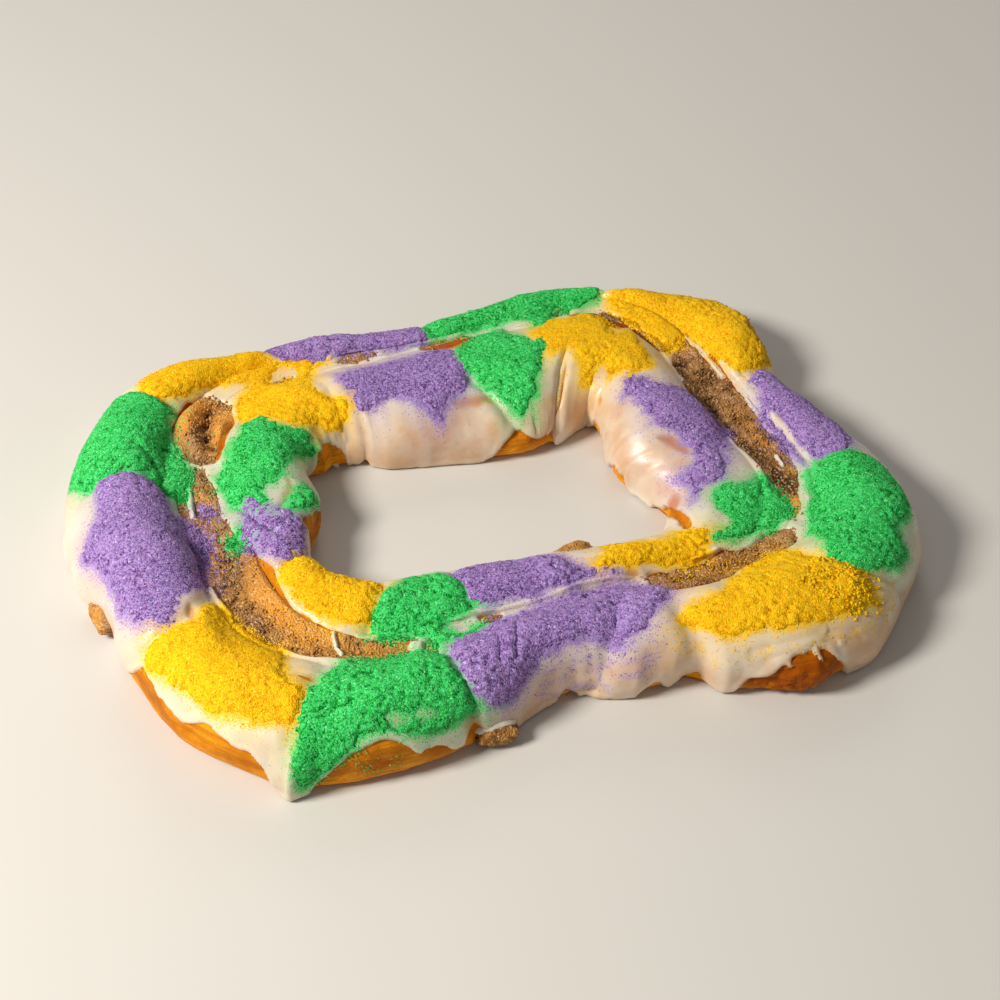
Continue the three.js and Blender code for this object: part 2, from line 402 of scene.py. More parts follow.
def nearPlaces(s, line, margin):
    low, high = line.min(0), line.max(0)
    middle = (low[0] + high[0]) / 2
    room = (high[0] - low[0]) / 2
    slack = margin / s.perTurn
    return (
        (np.abs(wrapped(s.turn - middle)) < room + slack)
        & (s.across > low[1] - margin)
        & (s.across < high[1] + margin)
    )


# Millimetres inside an outline, below zero outside it
def insideBy(s, places, margin=18):
    line = smoothOutline(places)
    found = np.full(s.turn.shape, -farOff)
    near = nearPlaces(s, line, margin)
    if not near.any():
        return found
    x = wrapped(line[None, :, 0] - s.turn[near][:, None]) * s.perTurn[near][:, None]
    y = line[None, :, 1] - s.across[near][:, None]
    nextX, nextY = np.roll(x, -1, 1), np.roll(y, -1, 1)
    dx, dy = nextX - x, nextY - y
    t = np.clip(-(x * dx + y * dy) / np.maximum(dx**2 + dy**2, 1e-9), 0, 1)
    distance = np.hypot(x + t * dx, y + t * dy).min(1)
    crosses = (y > 0) != (nextY > 0)
    within = (crosses & (x - y * dx / np.where(crosses, dy, 1) > 0)).sum(1) % 2 == 1
    found[near] = np.where(within, distance, -distance)
    return found


# Millimetres from an open line
def distanceTo(s, places, margin=16):
    line = np.array(places, float)
    found = np.full(s.turn.shape, farOff)
    near = nearPlaces(s, line, margin)
    if not near.any():
        return found
    x = wrapped(line[None, :, 0] - s.turn[near][:, None]) * s.perTurn[near][:, None]
    y = line[None, :, 1] - s.across[near][:, None]
    if len(line) == 1:
        found[near] = np.hypot(x, y)[:, 0]
        return found
    dx, dy = np.diff(x, axis=1), np.diff(y, axis=1)
    x, y = x[:, :-1], y[:, :-1]
    t = np.clip(-(x * dx + y * dy) / np.maximum(dx**2 + dy**2, 1e-9), 0, 1)
    found[near] = np.hypot(x + t * dx, y + t * dy).min(1)
    return found


# How far places lie in any of the outlines, from 0 to 1 over a soft edge
def zoneOf(s, outlines, edge, wobble=0):
    return np.max([smoothStep(*edge, insideBy(s, outline) + wobble) for outline in outlines], 0)


runsRound = 1100  # how fast random fields change once round the ring where they draw lines down its sides


def downSide(s, across):
    return np.stack([s.turn * runsRound, s.across * across, 0 * s.turn], -1)


doughShape = {
    "inset": 1.2,
    "swell": 1.5, "swellSize": 44,
    "lump": 0.9, "lumpSize": 17,
    "wrinkle": 0.35, "wrinkleSize": 2.6,
    "ridge": 0.75, "ridgeSize": 5.5, "ridgeSharp": 3,
    "alongRound": 90, "alongWave": 3, "alongWaveSize": 22,  # how the wrinkles run along the rope
    "footFade": 6, "tuck": 2.6, "seamFade": (-1.0, 2.5), "seamRise": 0.3,
    "foldWander": 0.6, "foldWanderSize": 9,
    "crackEdge": (-2, 3), "bubble": 2.2, "bubbleSize": 5.2, "bubbleMiddle": 0.5,
    "bubbleFine": [(0.9, 2.6, 35)], "underIcing": 0.7,
    # turn, across, size along, size across, height
    "humps": [
        (0.680, 50, 34, 26, 4.6), (0.745, 50, 36, 30, 4.4), (0.775, 24, 26, 14, 1.6),
        (0.830, 50, 44, 30, 1.2), (0.895, 40, 34, 26, 1.5), (0.975, 26, 36, 22, 1.6),
        (0.045, 44, 14, 26, 1.5), (0.100, 52, 36, 28, 1.6), (0.168, 44, 36, 26, 1.6),
        (0.300, 38, 22, 26, 1.5), (0.0935, 106, 17, 12, 4.6), (0.074, 104, 9, 8, 1.5),
        (0.512, -58, 26, 26, 1.6), (0.440, -58, 26, 30, 1.8), (0.475, -66, 12, 22, -1.0),
        (0.375, -60, 22, 26, 1.2), (0.230, -58, 40, 26, 1.2), (0.597, -90, 13, 9, 3.4),
        (0.660, -46, 28, 22, 1.8), (0.718, -66, 12, 12, 1.5), (0.755, -40, 24, 20, 1.0),
        (0.910, -38, 30, 20, 1.0), (0.990, -30, 36, 18, 1.0), (0.835, -42, 30, 20, 1.0),
    ],
    # the same for places where the crest lies lower
    "lowered": [
        (0.222, 54, 30, 24, -4.6), (0.265, 46, 24, 28, -5.0), (0.335, 34, 40, 26, -3.8),
        (0.390, 26, 30, 24, -2.4), (0.440, 24, 50, 24, -3.0), (0.510, 24, 60, 24, -3.0),
        (0.580, 28, 40, 24, -2.6), (0.612, 30, 36, 24, -2.4),
    ],
    # depth, width and line of each fold or crack
    "folds": [
        (4.0, 4.5, [(0.706, 17), (0.704, 30), (0.703, 45), (0.706, 60), (0.712, 76), (0.716, 92)]),
        (3.0, 2.6, [(0.685, 38), (0.690, 30), (0.695, 24), (0.702, 19), (0.709, 15)]),
        (2.0, 4.5, [(0.785, 16), (0.792, 28), (0.797, 42), (0.797, 60), (0.795, 80)]),
        (1.4, 6.0, [(0.862, 10), (0.863, 30), (0.862, 55), (0.863, 80), (0.862, 104)]),
        (3.2, 3.6, [(0.921, 10), (0.924, 30), (0.926, 45), (0.928, 60), (0.930, 78), (0.932, 92)]),
        (2.8, 6.0, [(0.036, 8), (0.030, 22), (0.0236, 31), (0.014, 44), (0.006, 60), (0.001, 78)]),
        (2.4, 1.3, [(0.9500, 22), (0.9486, 27), (0.9444, 38)]),
        (2.6, 1.4, [(0.970, 6), (0.962, 22), (0.954, 38)]),
        (2.2, 1.5, [(0.040, 0), (0.034, 12), (0.027, 26), (0.020, 38)]),
        (2.6, 5.4, [(0.058, 44), (0.060, 54), (0.061, 64), (0.062, 76), (0.0615, 96)]),
        (0.8, 2.2, [(0.078, 78), (0.088, 81), (0.100, 84), (0.113, 91)]),
        (0.8, 2.0, [(0.082, 86), (0.092, 88), (0.104, 91), (0.114, 98)]),
        (2.0, 1.8, [(0.232, 24), (0.240, 25), (0.246, 27)]),
        (2.6, 5.0, [(0.132, 30), (0.133, 45), (0.135, 62), (0.142, 80), (0.146, 100)]),
        (1.6, 1.2, [(0.891, -24), (0.8944, -31), (0.898, -37)]),
        (3.2, 2.2, [(0.728, -21), (0.735, -24), (0.747, -28.5), (0.760, -33), (0.768, -38)]),
        (3.4, 2.6, [(0.388, -56), (0.393, -70), (0.396, -84), (0.397, -96), (0.396, -112)]),
        (2.2, 2.0, [(0.385, -66), (0.386, -80), (0.387, -94), (0.387, -110)]),
        (2.2, 2.0, [(0.125, -45), (0.140, -64), (0.152, -80), (0.165, -100)]),
        (2.4, 4.0, [(0.475, -52), (0.470, -66), (0.464, -80), (0.458, -94)]),
        (2.2, 5.0, [(0.573, -30), (0.578, -48), (0.582, -66), (0.586, -84)]),
        (2.0, 4.0, [(0.800, -26), (0.799, -40), (0.796, -56)]),
        (2.0, 4.0, [(0.877, -14), (0.878, -32), (0.880, -52)]),
        (2.0, 4.0, [(0.948, -16), (0.947, -34), (0.948, -52)]),
        (1.8, 4.0, [(0.330, -64), (0.340, -80), (0.345, -98)]),
        (2.0, 3.5, [(0.475, 4), (0.480, 16), (0.485, 30), (0.486, 44)]),
        (1.6, 3.5, [(0.372, 6), (0.370, 20), (0.368, 36), (0.366, 52)]),
        (1.2, 4.0, [(0.566, 4), (0.577, 14), (0.586, 26), (0.588, 42)]),
        (1.8, 3.5, [(0.650, 18), (0.650, 34), (0.650, 52), (0.652, 72)]),
        (1.8, 4.0, [(0.272, 20), (0.272, 34), (0.271, 50), (0.268, 68)]),
        (1.6, 4.0, [(0.204, 12), (0.202, 28), (0.203, 46), (0.204, 64)]),
    ],
    # how much darker it is beside the filling, painted shade that makes slivers of crust in the seam read
    # as shadow, and where it's less so
    "stain": 0.85, "lessSeamShade": [(0.822, -20, 62, 24, 0.65), (0.655, -20, 22, 12, 0.5)],
    "cracked": [(0.080, 92), (0.086, 88), (0.096, 90), (0.104, 96), (0.104, 120), (0.092, 128),
                (0.080, 122), (0.076, 104)],
}

fillingShape = {
    "crumb": 1.9, "crumbSize": 6.0, "crumbMiddle": 0.5, "fine": 0.8, "fineSize": 2.5, "fineMiddle": 0.45,
    "swell": 1.4, "swellSize": 15, "warmSmooth": 0.75,
    # turn, across, size along, size across, height
    "humps": [
        (0.647, 10, 13, 6.5, 6.0), (0.660, 4, 8, 6, 4.6), (0.669, -4, 5, 5, 3.6),
        (0.650, -11.5, 9, 5.5, 6.0), (0.640, 2.5, 5, 2.4, -3.2), (0.649, -1.5, 5, 2.4, -4.4),
        (0.658, -6, 4.5, 2.6, -4.0), (0.665, -13, 4, 5, -2.4), (0.677, -8, 4, 9, -2.4),
        (0.361, -12, 8, 5, -3.5), (0.392, 0, 5, 3, -4.0), (0.700, -4, 12, 8, 1.5),
        (0.800, -17, 34, 8, 2.5), (0.755, -2, 26, 8, 1.2), (0.860, 0, 30, 6, -1.0),
        (0.240, -7, 50, 3.5, -1.2), (0.300, -6, 20, 3.5, -1.0), (0.250, 2, 66, 14, -2.6),
        (0.110, 0, 40, 10, -1.6), (0.170, 0, 14, 8, -1.0), (0.338, 4, 30, 8, 2.6), (0.300, 17, 16, 4, 2.2),
    ],
    # darker places; most lie along the grooves between lumps and paint the shade there
    "dark": [
        (0.794, 2, 22, 6, 0.25), (0.781, -4, 16, 7, 0.12), (0.866, -1, 24, 3, 0.5), (0.641, 2, 5, 2.4, 1.0),
        (0.649, -1.8, 5, 2.8, 1.2), (0.658, -6.3, 4.5, 2.8, 1.2), (0.665, -14, 4, 5, 0.6),
        (0.678, -6, 4, 10, 0.5), (0.365, -8, 18, 10, 0.5), (0.300, -8, 30, 4, 0.4),
        (0.255, -9, 30, 3, 0.35), (0.240, 9, 40, 3, 0.3), (0.192, -4, 10, 6, 0.35),
    ],
    # smoother and warmer places, where the dough's own crumb shows
    "warm": [
        (0.800, -17, 34, 11, 1.0), (0.835, -11, 28, 7, 0.9), (0.651, -13, 18, 7, 1.3),
        (0.652, 11, 19, 7, 1.3), (0.640, 0, 12, 12, 0.7), (0.878, 0, 24, 8, 0.8), (0.845, 0, 20, 7, 0.5),
        (0.900, -2, 14, 6, 0.8), (0.671, -24, 6, 4, 1.2), (0.470, -6, 16, 6, 0.7), (0.215, 6, 20, 4, 0.5),
        (0.197, 4, 8, 8, 0.6), (0.172, 0, 12, 8, 1.2), (0.240, 2, 40, 5, 0.35), (0.375, -4, 14, 6, 0.8),
        (0.690, -18, 12, 6, 0.8), (0.112, 0, 36, 12, 0.75), (0.760, 8, 20, 8, 0.35),
    ],
}


def spotsOf(s, spots, total=0):
    for turn, across, along, wide, amount in spots:
        x = wrapped(s.turn - turn) * s.perTurn
        total = total + amount * np.exp(-((x / along) ** 2) - ((s.across - across) / wide) ** 2)
    return total


def fillingSwell(s):
    swell = fillingShape["swell"] * noise(s.base, fillingShape["swellSize"], 5)
    return swell + spotsOf(s, fillingShape["humps"])


def fillingRelief(s):
    shape, p = fillingShape, s.base
    crumbly = 1 - shape["warmSmooth"] * np.clip(spotsOf(s, shape["warm"]), 0, 1)
    return (
        fillingSwell(s)
        + shape["crumb"] * (clumps(p, shape["crumbSize"], 9) - shape["crumbMiddle"]) * crumbly
        + shape["fine"] * (clumps(p, shape["fineSize"], 15) - shape["fineMiddle"]) * crumbly
    )


# How far the baked surface stands out from the CAD's
def reliefOf(s, bare):
    shape, p = doughShape, s.base
    raised = shape["swell"] * fractal(p, shape["swellSize"], 1, 2)
    raised = raised + shape["lump"] * noise(p, shape["lumpSize"], 3)
    if bare:  # wrinkles and ridges run along the rope
        wave = shape["alongWave"] * noise(p, shape["alongWaveSize"], 8)
        along = np.stack([s.turn * shape["alongRound"], s.across, wave], -1)
        raised = raised + shape["wrinkle"] * noise(along, shape["wrinkleSize"], 4)
        crease = np.abs(noise(along, shape["ridgeSize"], 6))
        raised = raised - shape["ridge"] * np.clip(1 - shape["ridgeSharp"] * crease, 0, 1) ** 2
    raised = raised - shape["inset"]
    raised = spotsOf(s, [hump for hump in shape["humps"] if hump[1] * s.rope > 0], raised)
    for depth, width, line in shape["folds"]:
        if line[len(line) // 2][1] * s.rope > 0:
            wander = shape["foldWander"] * noise(p, shape["foldWanderSize"], 21) * width / 2
            raised = raised - depth * np.exp(-(((distanceTo(s, line) + wander) / width) ** 2))
    if s.rope == outer:
        bubbles = shape["underIcing"]
        if bare:
            bubbles = shape["bubble"] * (clumps(p, shape["bubbleSize"], 33) - shape["bubbleMiddle"])
            bubbles = waves(p, shape["bubbleFine"], bubbles)
        raised = raised + smoothStep(*shape["crackEdge"], insideBy(s, shape["cracked"])) * bubbles
    foot = smoothStep(0, shape["footFade"], p[..., 2])
    onRope = smoothStep(*shape["seamFade"], s.far - s.half)
    tucked = shape["tuck"] * (1 - foot) if bare else 0
    inSeam = fillingSwell(s) + shape["seamRise"]
    lowered = spotsOf(s, shape["lowered"]) * foot * onRope if s.rope == outer else 0
    return (raised * foot - tucked) * onRope + inSeam * (1 - onRope), lowered


# Meshes from grids of points

def meshFrom(name, points, faces):
    mesh = bpy.data.meshes.new(name)
    mesh.vertices.add(len(points))
    mesh.vertices.foreach_set("co", (points * mm).astype(np.float32).ravel())
    mesh.loops.add(faces.size)
    mesh.loops.foreach_set("vertex_index", faces.astype(np.int32).ravel())
    mesh.polygons.add(len(faces))
    mesh.polygons.foreach_set("loop_start", np.arange(0, faces.size, faces.shape[1], dtype=np.int32))
    mesh.polygons.foreach_set("use_smooth", np.ones(len(faces), bool))
    mesh.update(calc_edges=True)
    return mesh


def signedVolume(points, faces):
    a, b, c = (points[faces[:, k]] for k in range(3))
    volume = np.einsum("ij,ij->i", a, np.cross(b, c)).sum()
    if faces.shape[1] == 4:
        d = points[faces[:, 3]]
        volume += np.einsum("ij,ij->i", a, np.cross(c, d)).sum()
    return volume


def addMeasure(mesh, name, values):
    layer = mesh.attributes.new(name, "FLOAT", "POINT")
    layer.data.foreach_set("value", np.asarray(values, np.float32).ravel())


# Dust of each colour on a mesh's points, with none on its hidden ones
def addDustMeasures(mesh, s, hidden):
    for colour in sugarPatches:
        dust = [sugarCover(s, colour)[2], hidden]
        addMeasure(mesh, "dust" + colour.capitalize(), np.concatenate(dust, 1))


def show(name, mesh, material):
    piece = bpy.data.objects.new(name, mesh)
    bpy.context.scene.collection.objects.link(piece)
    if material is not None:
        mesh.materials.clear()
        mesh.materials.append(material)
    return piece


def finishPiece(piece, slot, *nodes):
    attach(piece, "root")
    if nodes:
        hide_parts(*nodes)
    print(piece.name, len(piece.data.polygons), "faces")
    return piece


# A closed ring from loops of points, one loop for each turn
def ringMesh(name, loops):
    turns, steps = loops.shape[:2]
    i, j = np.meshgrid(np.arange(turns), np.arange(steps), indexing="ij")
    nextI, nextJ = (i + 1) % turns, (j + 1) % steps
    faces = np.stack([i * steps + j, nextI * steps + j, nextI * steps + nextJ, i * steps + nextJ], -1)
    faces = faces.reshape(-1, 4)
    points = loops.reshape(-1, 3)
    if signedVolume(points, faces) < 0:
        faces = faces[:, ::-1]
    return meshFrom(name, points, faces)


# A closed shell between a top and a bottom grid, over the chosen quads of a ring-shaped grid
def shellPoints(top, bottom, chosen):
    turns, steps = top.shape[:2]
    chosen = chosen.copy()
    for _ in range(4):  # quads that touch only at a corner are joined up
        right, up = np.roll(chosen, -1, 0), np.zeros_like(chosen)
        up[:, :-1] = chosen[:, 1:]
        both = np.roll(up, -1, 0)
        cross = (chosen & both & ~right & ~up) | (~chosen & ~both & right & up)
        chosen |= cross | np.roll(cross, 1, 0)
        chosen[:, 1:] |= cross[:, :-1]
    i, j = np.nonzero(chosen)
    a, b = i * steps + j, (i + 1) % turns * steps + j
    quads = np.stack([a, b, b + 1, a + 1], -1)
    used = np.unique(quads)
    index = np.full(turns * steps, -1)
    index[used] = np.arange(len(used))
    quads = index[quads]
    edges = np.concatenate([quads[:, [k, (k + 1) % 4]] for k in range(4)])
    code = edges[:, 0] * len(used) + edges[:, 1]
    rim = edges[~np.isin(code, edges[:, 1] * len(used) + edges[:, 0])]
    count = len(used)
    walls = np.stack([rim[:, 1], rim[:, 0], rim[:, 0] + count, rim[:, 1] + count], -1)
    faces = np.concatenate([quads, quads[:, ::-1] + count, walls])
    points = np.concatenate([top.reshape(-1, 3)[used], bottom.reshape(-1, 3)[used]])
    return points, faces, used


def joined(parts):
    points, faces, extra, start = [], [], [], 0
    for part in parts:
        points.append(part[0])
        faces.append(part[1] + start)
        extra.append(part[2])
        start += len(part[0])
    return np.concatenate(points), np.concatenate(faces), np.concatenate(extra)


# Icing. Its lower edge is told by how far it stops above the foot, as turn and gap, and windows and
# bare spots are outlines where it's missing.

icingShape = {
    "depth": 1.2, "vary": [(0.4, 24, 53), (0.28, 11, 58)], "fine": [(0.10, 3.5, 55)],
    "flow": 0.34, "flowSize": 9, "flowAcross": 0.14,
    "warp": [(0.9, 6.5, 51), (0.5, 2.6, 52)], "broken": [(1.5, 10, 59), (0.4, 5, 60)], "edgeWarp": 0.3,
    "edgeWidth": 1.5, "seamEdge": 2.2, "softWithin": 6, "rim": 0.30, "rimPlace": 3.0, "rimWidth": 2.4,
    "sink": 4.6, "fall": 2.4, "softFall": 0.9, "underDepth": 8.5, "underLeast": 0.4,
    "sheerEdge": (-3.2, 2.0), "sheerWobble": [(0.8, 5, 57)], "sheerLess": 0.7,
    "strandWarp": 0.5, "underStrand": 0.5, "dive": 1.2,
    "stepsRound": {outer: 960, inner: 800},
    "stepsAcross": {outer: (14, 76), inner: (14, 88)},
    "underSteps": 8, "seamUnderSteps": (0, 5, 10),
}

# How the lower edge wavers
edgeShape = {
    "smoothOver": 0.0008, "around": 1250, "ropesApart": 31, "waves": [(1.2, 7, 41), (1.3, 3.2, 42)],
    "leastGap": 2.0, "leastWaves": [(0.8, 4.5, 43)], "slopeFrom": -8,
}

icingEdges = {
    outer: [
        (0.000, 1), (0.006, 0), (0.012, 2), (0.018, 0), (0.0235, 1), (0.0262, 0), (0.0285, 6), (0.034, 12),
        (0.040, 15), (0.0435, 10), (0.048, 2), (0.054, 4), (0.0585, 9), (0.0615, 11), (0.0645, 4),
        (0.068, 2), (0.0715, 2), (0.0736, 6), (0.0752, 17), (0.078, 20), (0.082, 21), (0.0847, 26),
        (0.0872, 30), (0.0885, 34), (0.092, 35), (0.0965, 38), (0.1005, 37), (0.1022, 31), (0.1038, 24),
        (0.1050, 25), (0.107, 18), (0.109, 7), (0.112, 0), (0.120, 2), (0.130, 0), (0.145, 1), (0.160, 6),
        (0.175, 2), (0.190, 14),
        (0.200, 4), (0.215, 18), (0.230, 6), (0.245, 16), (0.262, 8), (0.280, 18), (0.288, 38),
        (0.298, 42), (0.308, 22), (0.320, 6), (0.335, 16), (0.350, 8), (0.365, 18), (0.380, 6),
        (0.400, 14), (0.415, 4), (0.435, 12), (0.450, 16), (0.465, 5), (0.485, 12), (0.500, 3),
        (0.520, 14), (0.535, 6), (0.555, 15), (0.570, 4), (0.590, 12), (0.610, 16), (0.625, 6),
        (0.640, 12), (0.655, 3), (0.670, 8), (0.690, 2), (0.710, 5), (0.730, 0), (0.750, 2),
        (0.770, 0), (0.788, 8), (0.798, 32), (0.805, 29), (0.815, 28), (0.825, 26), (0.832, 32),
        (0.840, 30), (0.850, 27), (0.855, 20), (0.858, 8), (0.862, -2), (0.868, -1), (0.871, 8),
        (0.875, 18), (0.882, 31), (0.890, 34), (0.895, 33), (0.900, 28), (0.905, 22), (0.909, 21),
        (0.912, 23), (0.916, 18), (0.920, 12), (0.924, 14), (0.926, 22), (0.928, 26), (0.931, 18),
        (0.935, 10), (0.939, 1), (0.945, 0), (0.955, 2), (0.965, 0), (0.975, 3), (0.9805, 4), (0.9840, 13),
        (0.988, 13), (0.990, 6), (0.994, 2),
    ],
    inner: [
        (0.000, 10), (0.020, 20), (0.040, 6), (0.060, 16), (0.080, 8), (0.100, 18), (0.120, 10),
        (0.140, 8), (0.152, 11), (0.165, 9), (0.176, 3), (0.192, 0), (0.205, 4), (0.210, 14), (0.232, 16),
        (0.255, 12), (0.266, 6), (0.275, 0), (0.290, 1), (0.300, 3),
        (0.306, 14), (0.325, 17), (0.338, 17), (0.3445, 8), (0.352, 0), (0.370, 1), (0.385, 0),
        (0.394, 4), (0.400, 18), (0.412, 18), (0.430, 17), (0.445, 19), (0.455, 26), (0.462, 25),
        (0.470, 16), (0.476, 7), (0.482, 0), (0.500, 1), (0.520, -1), (0.545, 1), (0.555, 2),
        (0.5635, 9), (0.5665, 3), (0.572, 2), (0.5815, 2), (0.585, 14), (0.592, 20), (0.602, 24),
        (0.612, 27), (0.621, 24), (0.628, 10),
        (0.634, 3), (0.650, 10), (0.670, 14), (0.690, 24), (0.700, 28), (0.715, 28), (0.725, 27),
        (0.735, 31), (0.745, 34), (0.752, 40), (0.760, 36), (0.768, 28), (0.776, 20), (0.790, 12),
        (0.810, 20), (0.830, 6), (0.850, 16), (0.870, 8), (0.890, 20), (0.910, 10), (0.930, 18),
        (0.950, 6), (0.970, 16), (0.985, 8),
    ],
}

bareWindows = [
    [(0.062, 2), (0.066, -8), (0.075, -12), (0.090, -11), (0.105, -13), (0.120, -17), (0.130, -14),
     (0.137, -11), (0.145, -10), (0.152, -5), (0.155, 2), (0.150, 8), (0.140, 10), (0.128, 9),
     (0.115, 9), (0.100, 13), (0.090, 21), (0.080, 23), (0.068, 22), (0.062, 16), (0.060, 10)],
    [(0.161, -2), (0.168, -6), (0.178, -7), (0.186, -9), (0.192, -12), (0.205, -12), (0.220, -13),
     (0.240, -13.5), (0.260, -14), (0.280, -14), (0.300, -11), (0.312, -8), (0.318, 0), (0.320, 8),
     (0.313, 16.5), (0.302, 18), (0.290, 18), (0.279, 16.5), (0.268, 14), (0.255, 15), (0.240, 13),
     (0.225, 12.5), (0.210, 12), (0.200, 10), (0.190, 7), (0.180, 4), (0.171, 5), (0.163, 3)],
    [(0.345, -5), (0.350, -12), (0.352, -22), (0.358, -26), (0.366, -24), (0.372, -14), (0.370, -6),
     (0.360, -3)],
    [(0.318, 1), (0.324, -3), (0.332, -6), (0.341, -7), (0.350, -6), (0.354, -14), (0.343, -17),
     (0.333, -16), (0.325, -13), (0.317, -8)],
    [(0.386, -3), (0.375, -1.5), (0.364, -2), (0.362, -8), (0.373, -7.5), (0.386, -7)],
    [(0.388, -2), (0.391, -3), (0.396, -1), (0.397, 2), (0.392, 3), (0.388, 1)],
    [(0.453, -8), (0.460, -13), (0.475, -14), (0.487, -10), (0.492, -4), (0.488, 2), (0.475, 3),
     (0.460, 2), (0.454, -2)],
    [(0.523, 0), (0.530, -3), (0.545, -3), (0.552, 1), (0.548, 5), (0.535, 6), (0.525, 4)],
    [(0.630, -10), (0.637, -17), (0.650, -19.5), (0.665, -21), (0.677, -17), (0.680, -5), (0.676, 6),
     (0.668, 13), (0.655, 17), (0.641, 17), (0.631, 11), (0.628, 0)],
    [(0.685, -8), (0.700, -12), (0.715, -11), (0.730, -10), (0.745, -12), (0.760, -14), (0.775, -21),
     (0.790, -25), (0.805, -24), (0.815, -21), (0.830, -17.5), (0.845, -15), (0.860, -13.5), (0.875, -11),
     (0.890, -10), (0.905, -8), (0.908, 0), (0.900, 5), (0.885, 6), (0.870, 6), (0.860, 8),
     (0.845, 10), (0.830, 11), (0.815, 12), (0.800, 14), (0.785, 16), (0.770, 18), (0.755, 17),
     (0.740, 14), (0.725, 14), (0.710, 12), (0.697, 8), (0.688, 0)],
    [(0.911, -4), (0.914, -6), (0.918, -2), (0.919, 8), (0.918, 17), (0.914, 19), (0.911, 14), (0.910, 5)],
    [(0.950, -8), (0.955, -10), (0.963, -8), (0.963, -3), (0.956, -2), (0.950, -3)],
    [(0.583, -4.5), (0.591, -5), (0.599, -4), (0.598, -1.5), (0.590, -1.5), (0.583, -2)],
    [(0.124, -44), (0.132, -52), (0.142, -64), (0.153, -79), (0.166, -100), (0.163, -101), (0.150, -82),
     (0.139, -66), (0.129, -53)],
]

# Spots where the icing is so thin that the crust shows through
sheerSpots = [
    [(0.052, -12), (0.056, -17), (0.060, -14), (0.058, -11)],
    [(0.668, -24), (0.672, -29), (0.677, -27), (0.675, -23)],
    [(0.792, 36), (0.797, 36), (0.801, 39), (0.796, 40)],
    [(0.854, 34), (0.860, 33), (0.866, 36), (0.864, 41), (0.857, 41)],
    [(0.149, -71), (0.156, -70), (0.162, -75), (0.157, -80), (0.150, -78)],
    [(0.203, -56), (0.212, -53), (0.223, -56), (0.226, -62), (0.216, -61), (0.205, -59)],
    [(0.333, -84), (0.337, -84), (0.339, -86), (0.335, -87)],
    [(0.466, -68), (0.473, -66), (0.484, -64), (0.494, -63), (0.493, -67), (0.482, -69), (0.470, -71)],
    [(0.606, -61), (0.612, -59), (0.620, -62), (0.618, -67), (0.610, -67)],
    [(0.700, -59), (0.712, -55), (0.724, -49), (0.736, -44), (0.738, -46), (0.726, -52), (0.712, -58)],
    [(0.924, 66), (0.927, 60), (0.930, 66), (0.932, 80), (0.930, 88), (0.926, 84)],
    [(0.388, -72), (0.390, -84), (0.391, -96), (0.3885, -96), (0.387, -84), (0.386, -74)],
]

# Icing that runs over the seam: half width, height and line of each strand
icingStrands = [
    (2.3, 2.2, [(0.920, -8), (0.935, -11), (0.950, -12), (0.965, -9), (0.980, -9), (0.990, -9)]),
    (1.8, 1.9, [(0.990, -9), (1.000, -10), (1.020, -13), (1.040, -13), (1.060, -9)]),
    (1.6, 2.5, [(0.857, -12), (0.859, -8), (0.862, -3), (0.866, 1)]),
    (3.8, 3.2, [(0.905, -1), (0.908, 0)]),
    (2.6, 2.4, [(0.838, 11), (0.850, 12), (0.862, 10), (0.872, 10)]),
    (2.4, 2.4, [(0.782, 14), (0.790, 14), (0.797, 12), (0.803, 12)]),
    (2.0, 3.0, [(0.704, 2.5), (0.710, 4), (0.718, 6), (0.7255, 7)]),
    (2.4, 2.0, [(0.622, -6), (0.630, -10), (0.637, -17), (0.644, -23), (0.654, -26), (0.664, -26),
                (0.672, -22)]),
    (2.0, 3.0, [(0.319, 13.5), (0.312, 14.5), (0.305, 15), (0.293, 14.5), (0.281, 13.5)]),
    (4.0, 1.5, [(0.290, 21.5), (0.275, 21.5), (0.262, 21), (0.249, 19.5)]),
    (1.8, 2.2, [(0.258, 15), (0.250, 14), (0.243, 14)]),
    (1.7, 2.8, [(0.202, 3), (0.209, 4)]),
    (3.0, 1.4, [(0.197, 14), (0.188, 11.5), (0.179, 9), (0.168, 10), (0.158, 13)]),
    (1.9, 2.4, [(0.410, -12), (0.425, -9), (0.440, -8)]),
    (2.0, 2.4, [(0.528, 6), (0.540, 9), (0.556, 6)]),
    (1.8, 2.4, [(0.100, -14), (0.112, -17), (0.120, -19)]),
    (1.9, 1.1, [(0.0972, 89), (0.0972, 94), (0.0980, 97)]),
    (2.2, 1.1, [(0.0875, 92), (0.0884, 94)]),
    (2.0, 1.2, [(0.1056, 95), (0.1075, 94.4)]),
    (1.8, 1.2, [(0.1028, 84.7), (0.1040, 83.8)]),
]


# Millimetres inside the icing's lower edge
def aboveEdge(s):
    shape, at = edgeShape, s.turn[:, 0]
    steps = (-2, -1, 0, 1, 2)
    gap = sum(alongTable(icingEdges[s.rope], at + k * shape["smoothOver"]) for k in steps) / len(steps)
    wobble = np.stack([at * shape["around"], 0 * at, 0 * at + shape["ropesApart"] * s.rope], -1)
    gap = waves(wobble, shape["waves"], gap)
    edge = s.foot[:, 0] - np.maximum(gap, waves(wobble, shape["leastWaves"], shape["leastGap"]))
    slope = np.gradient(edge) / (np.gradient(s.turn[:, 0]) * s.perTurn[:, shape["slopeFrom"]])
    return (edge[:, None] - s.far) / np.sqrt(1 + slope[:, None] ** 2)


def sheernessOf(s):
    return zoneOf(s, sheerSpots, icingShape["sheerEdge"], waves(s.base, icingShape["sheerWobble"]))


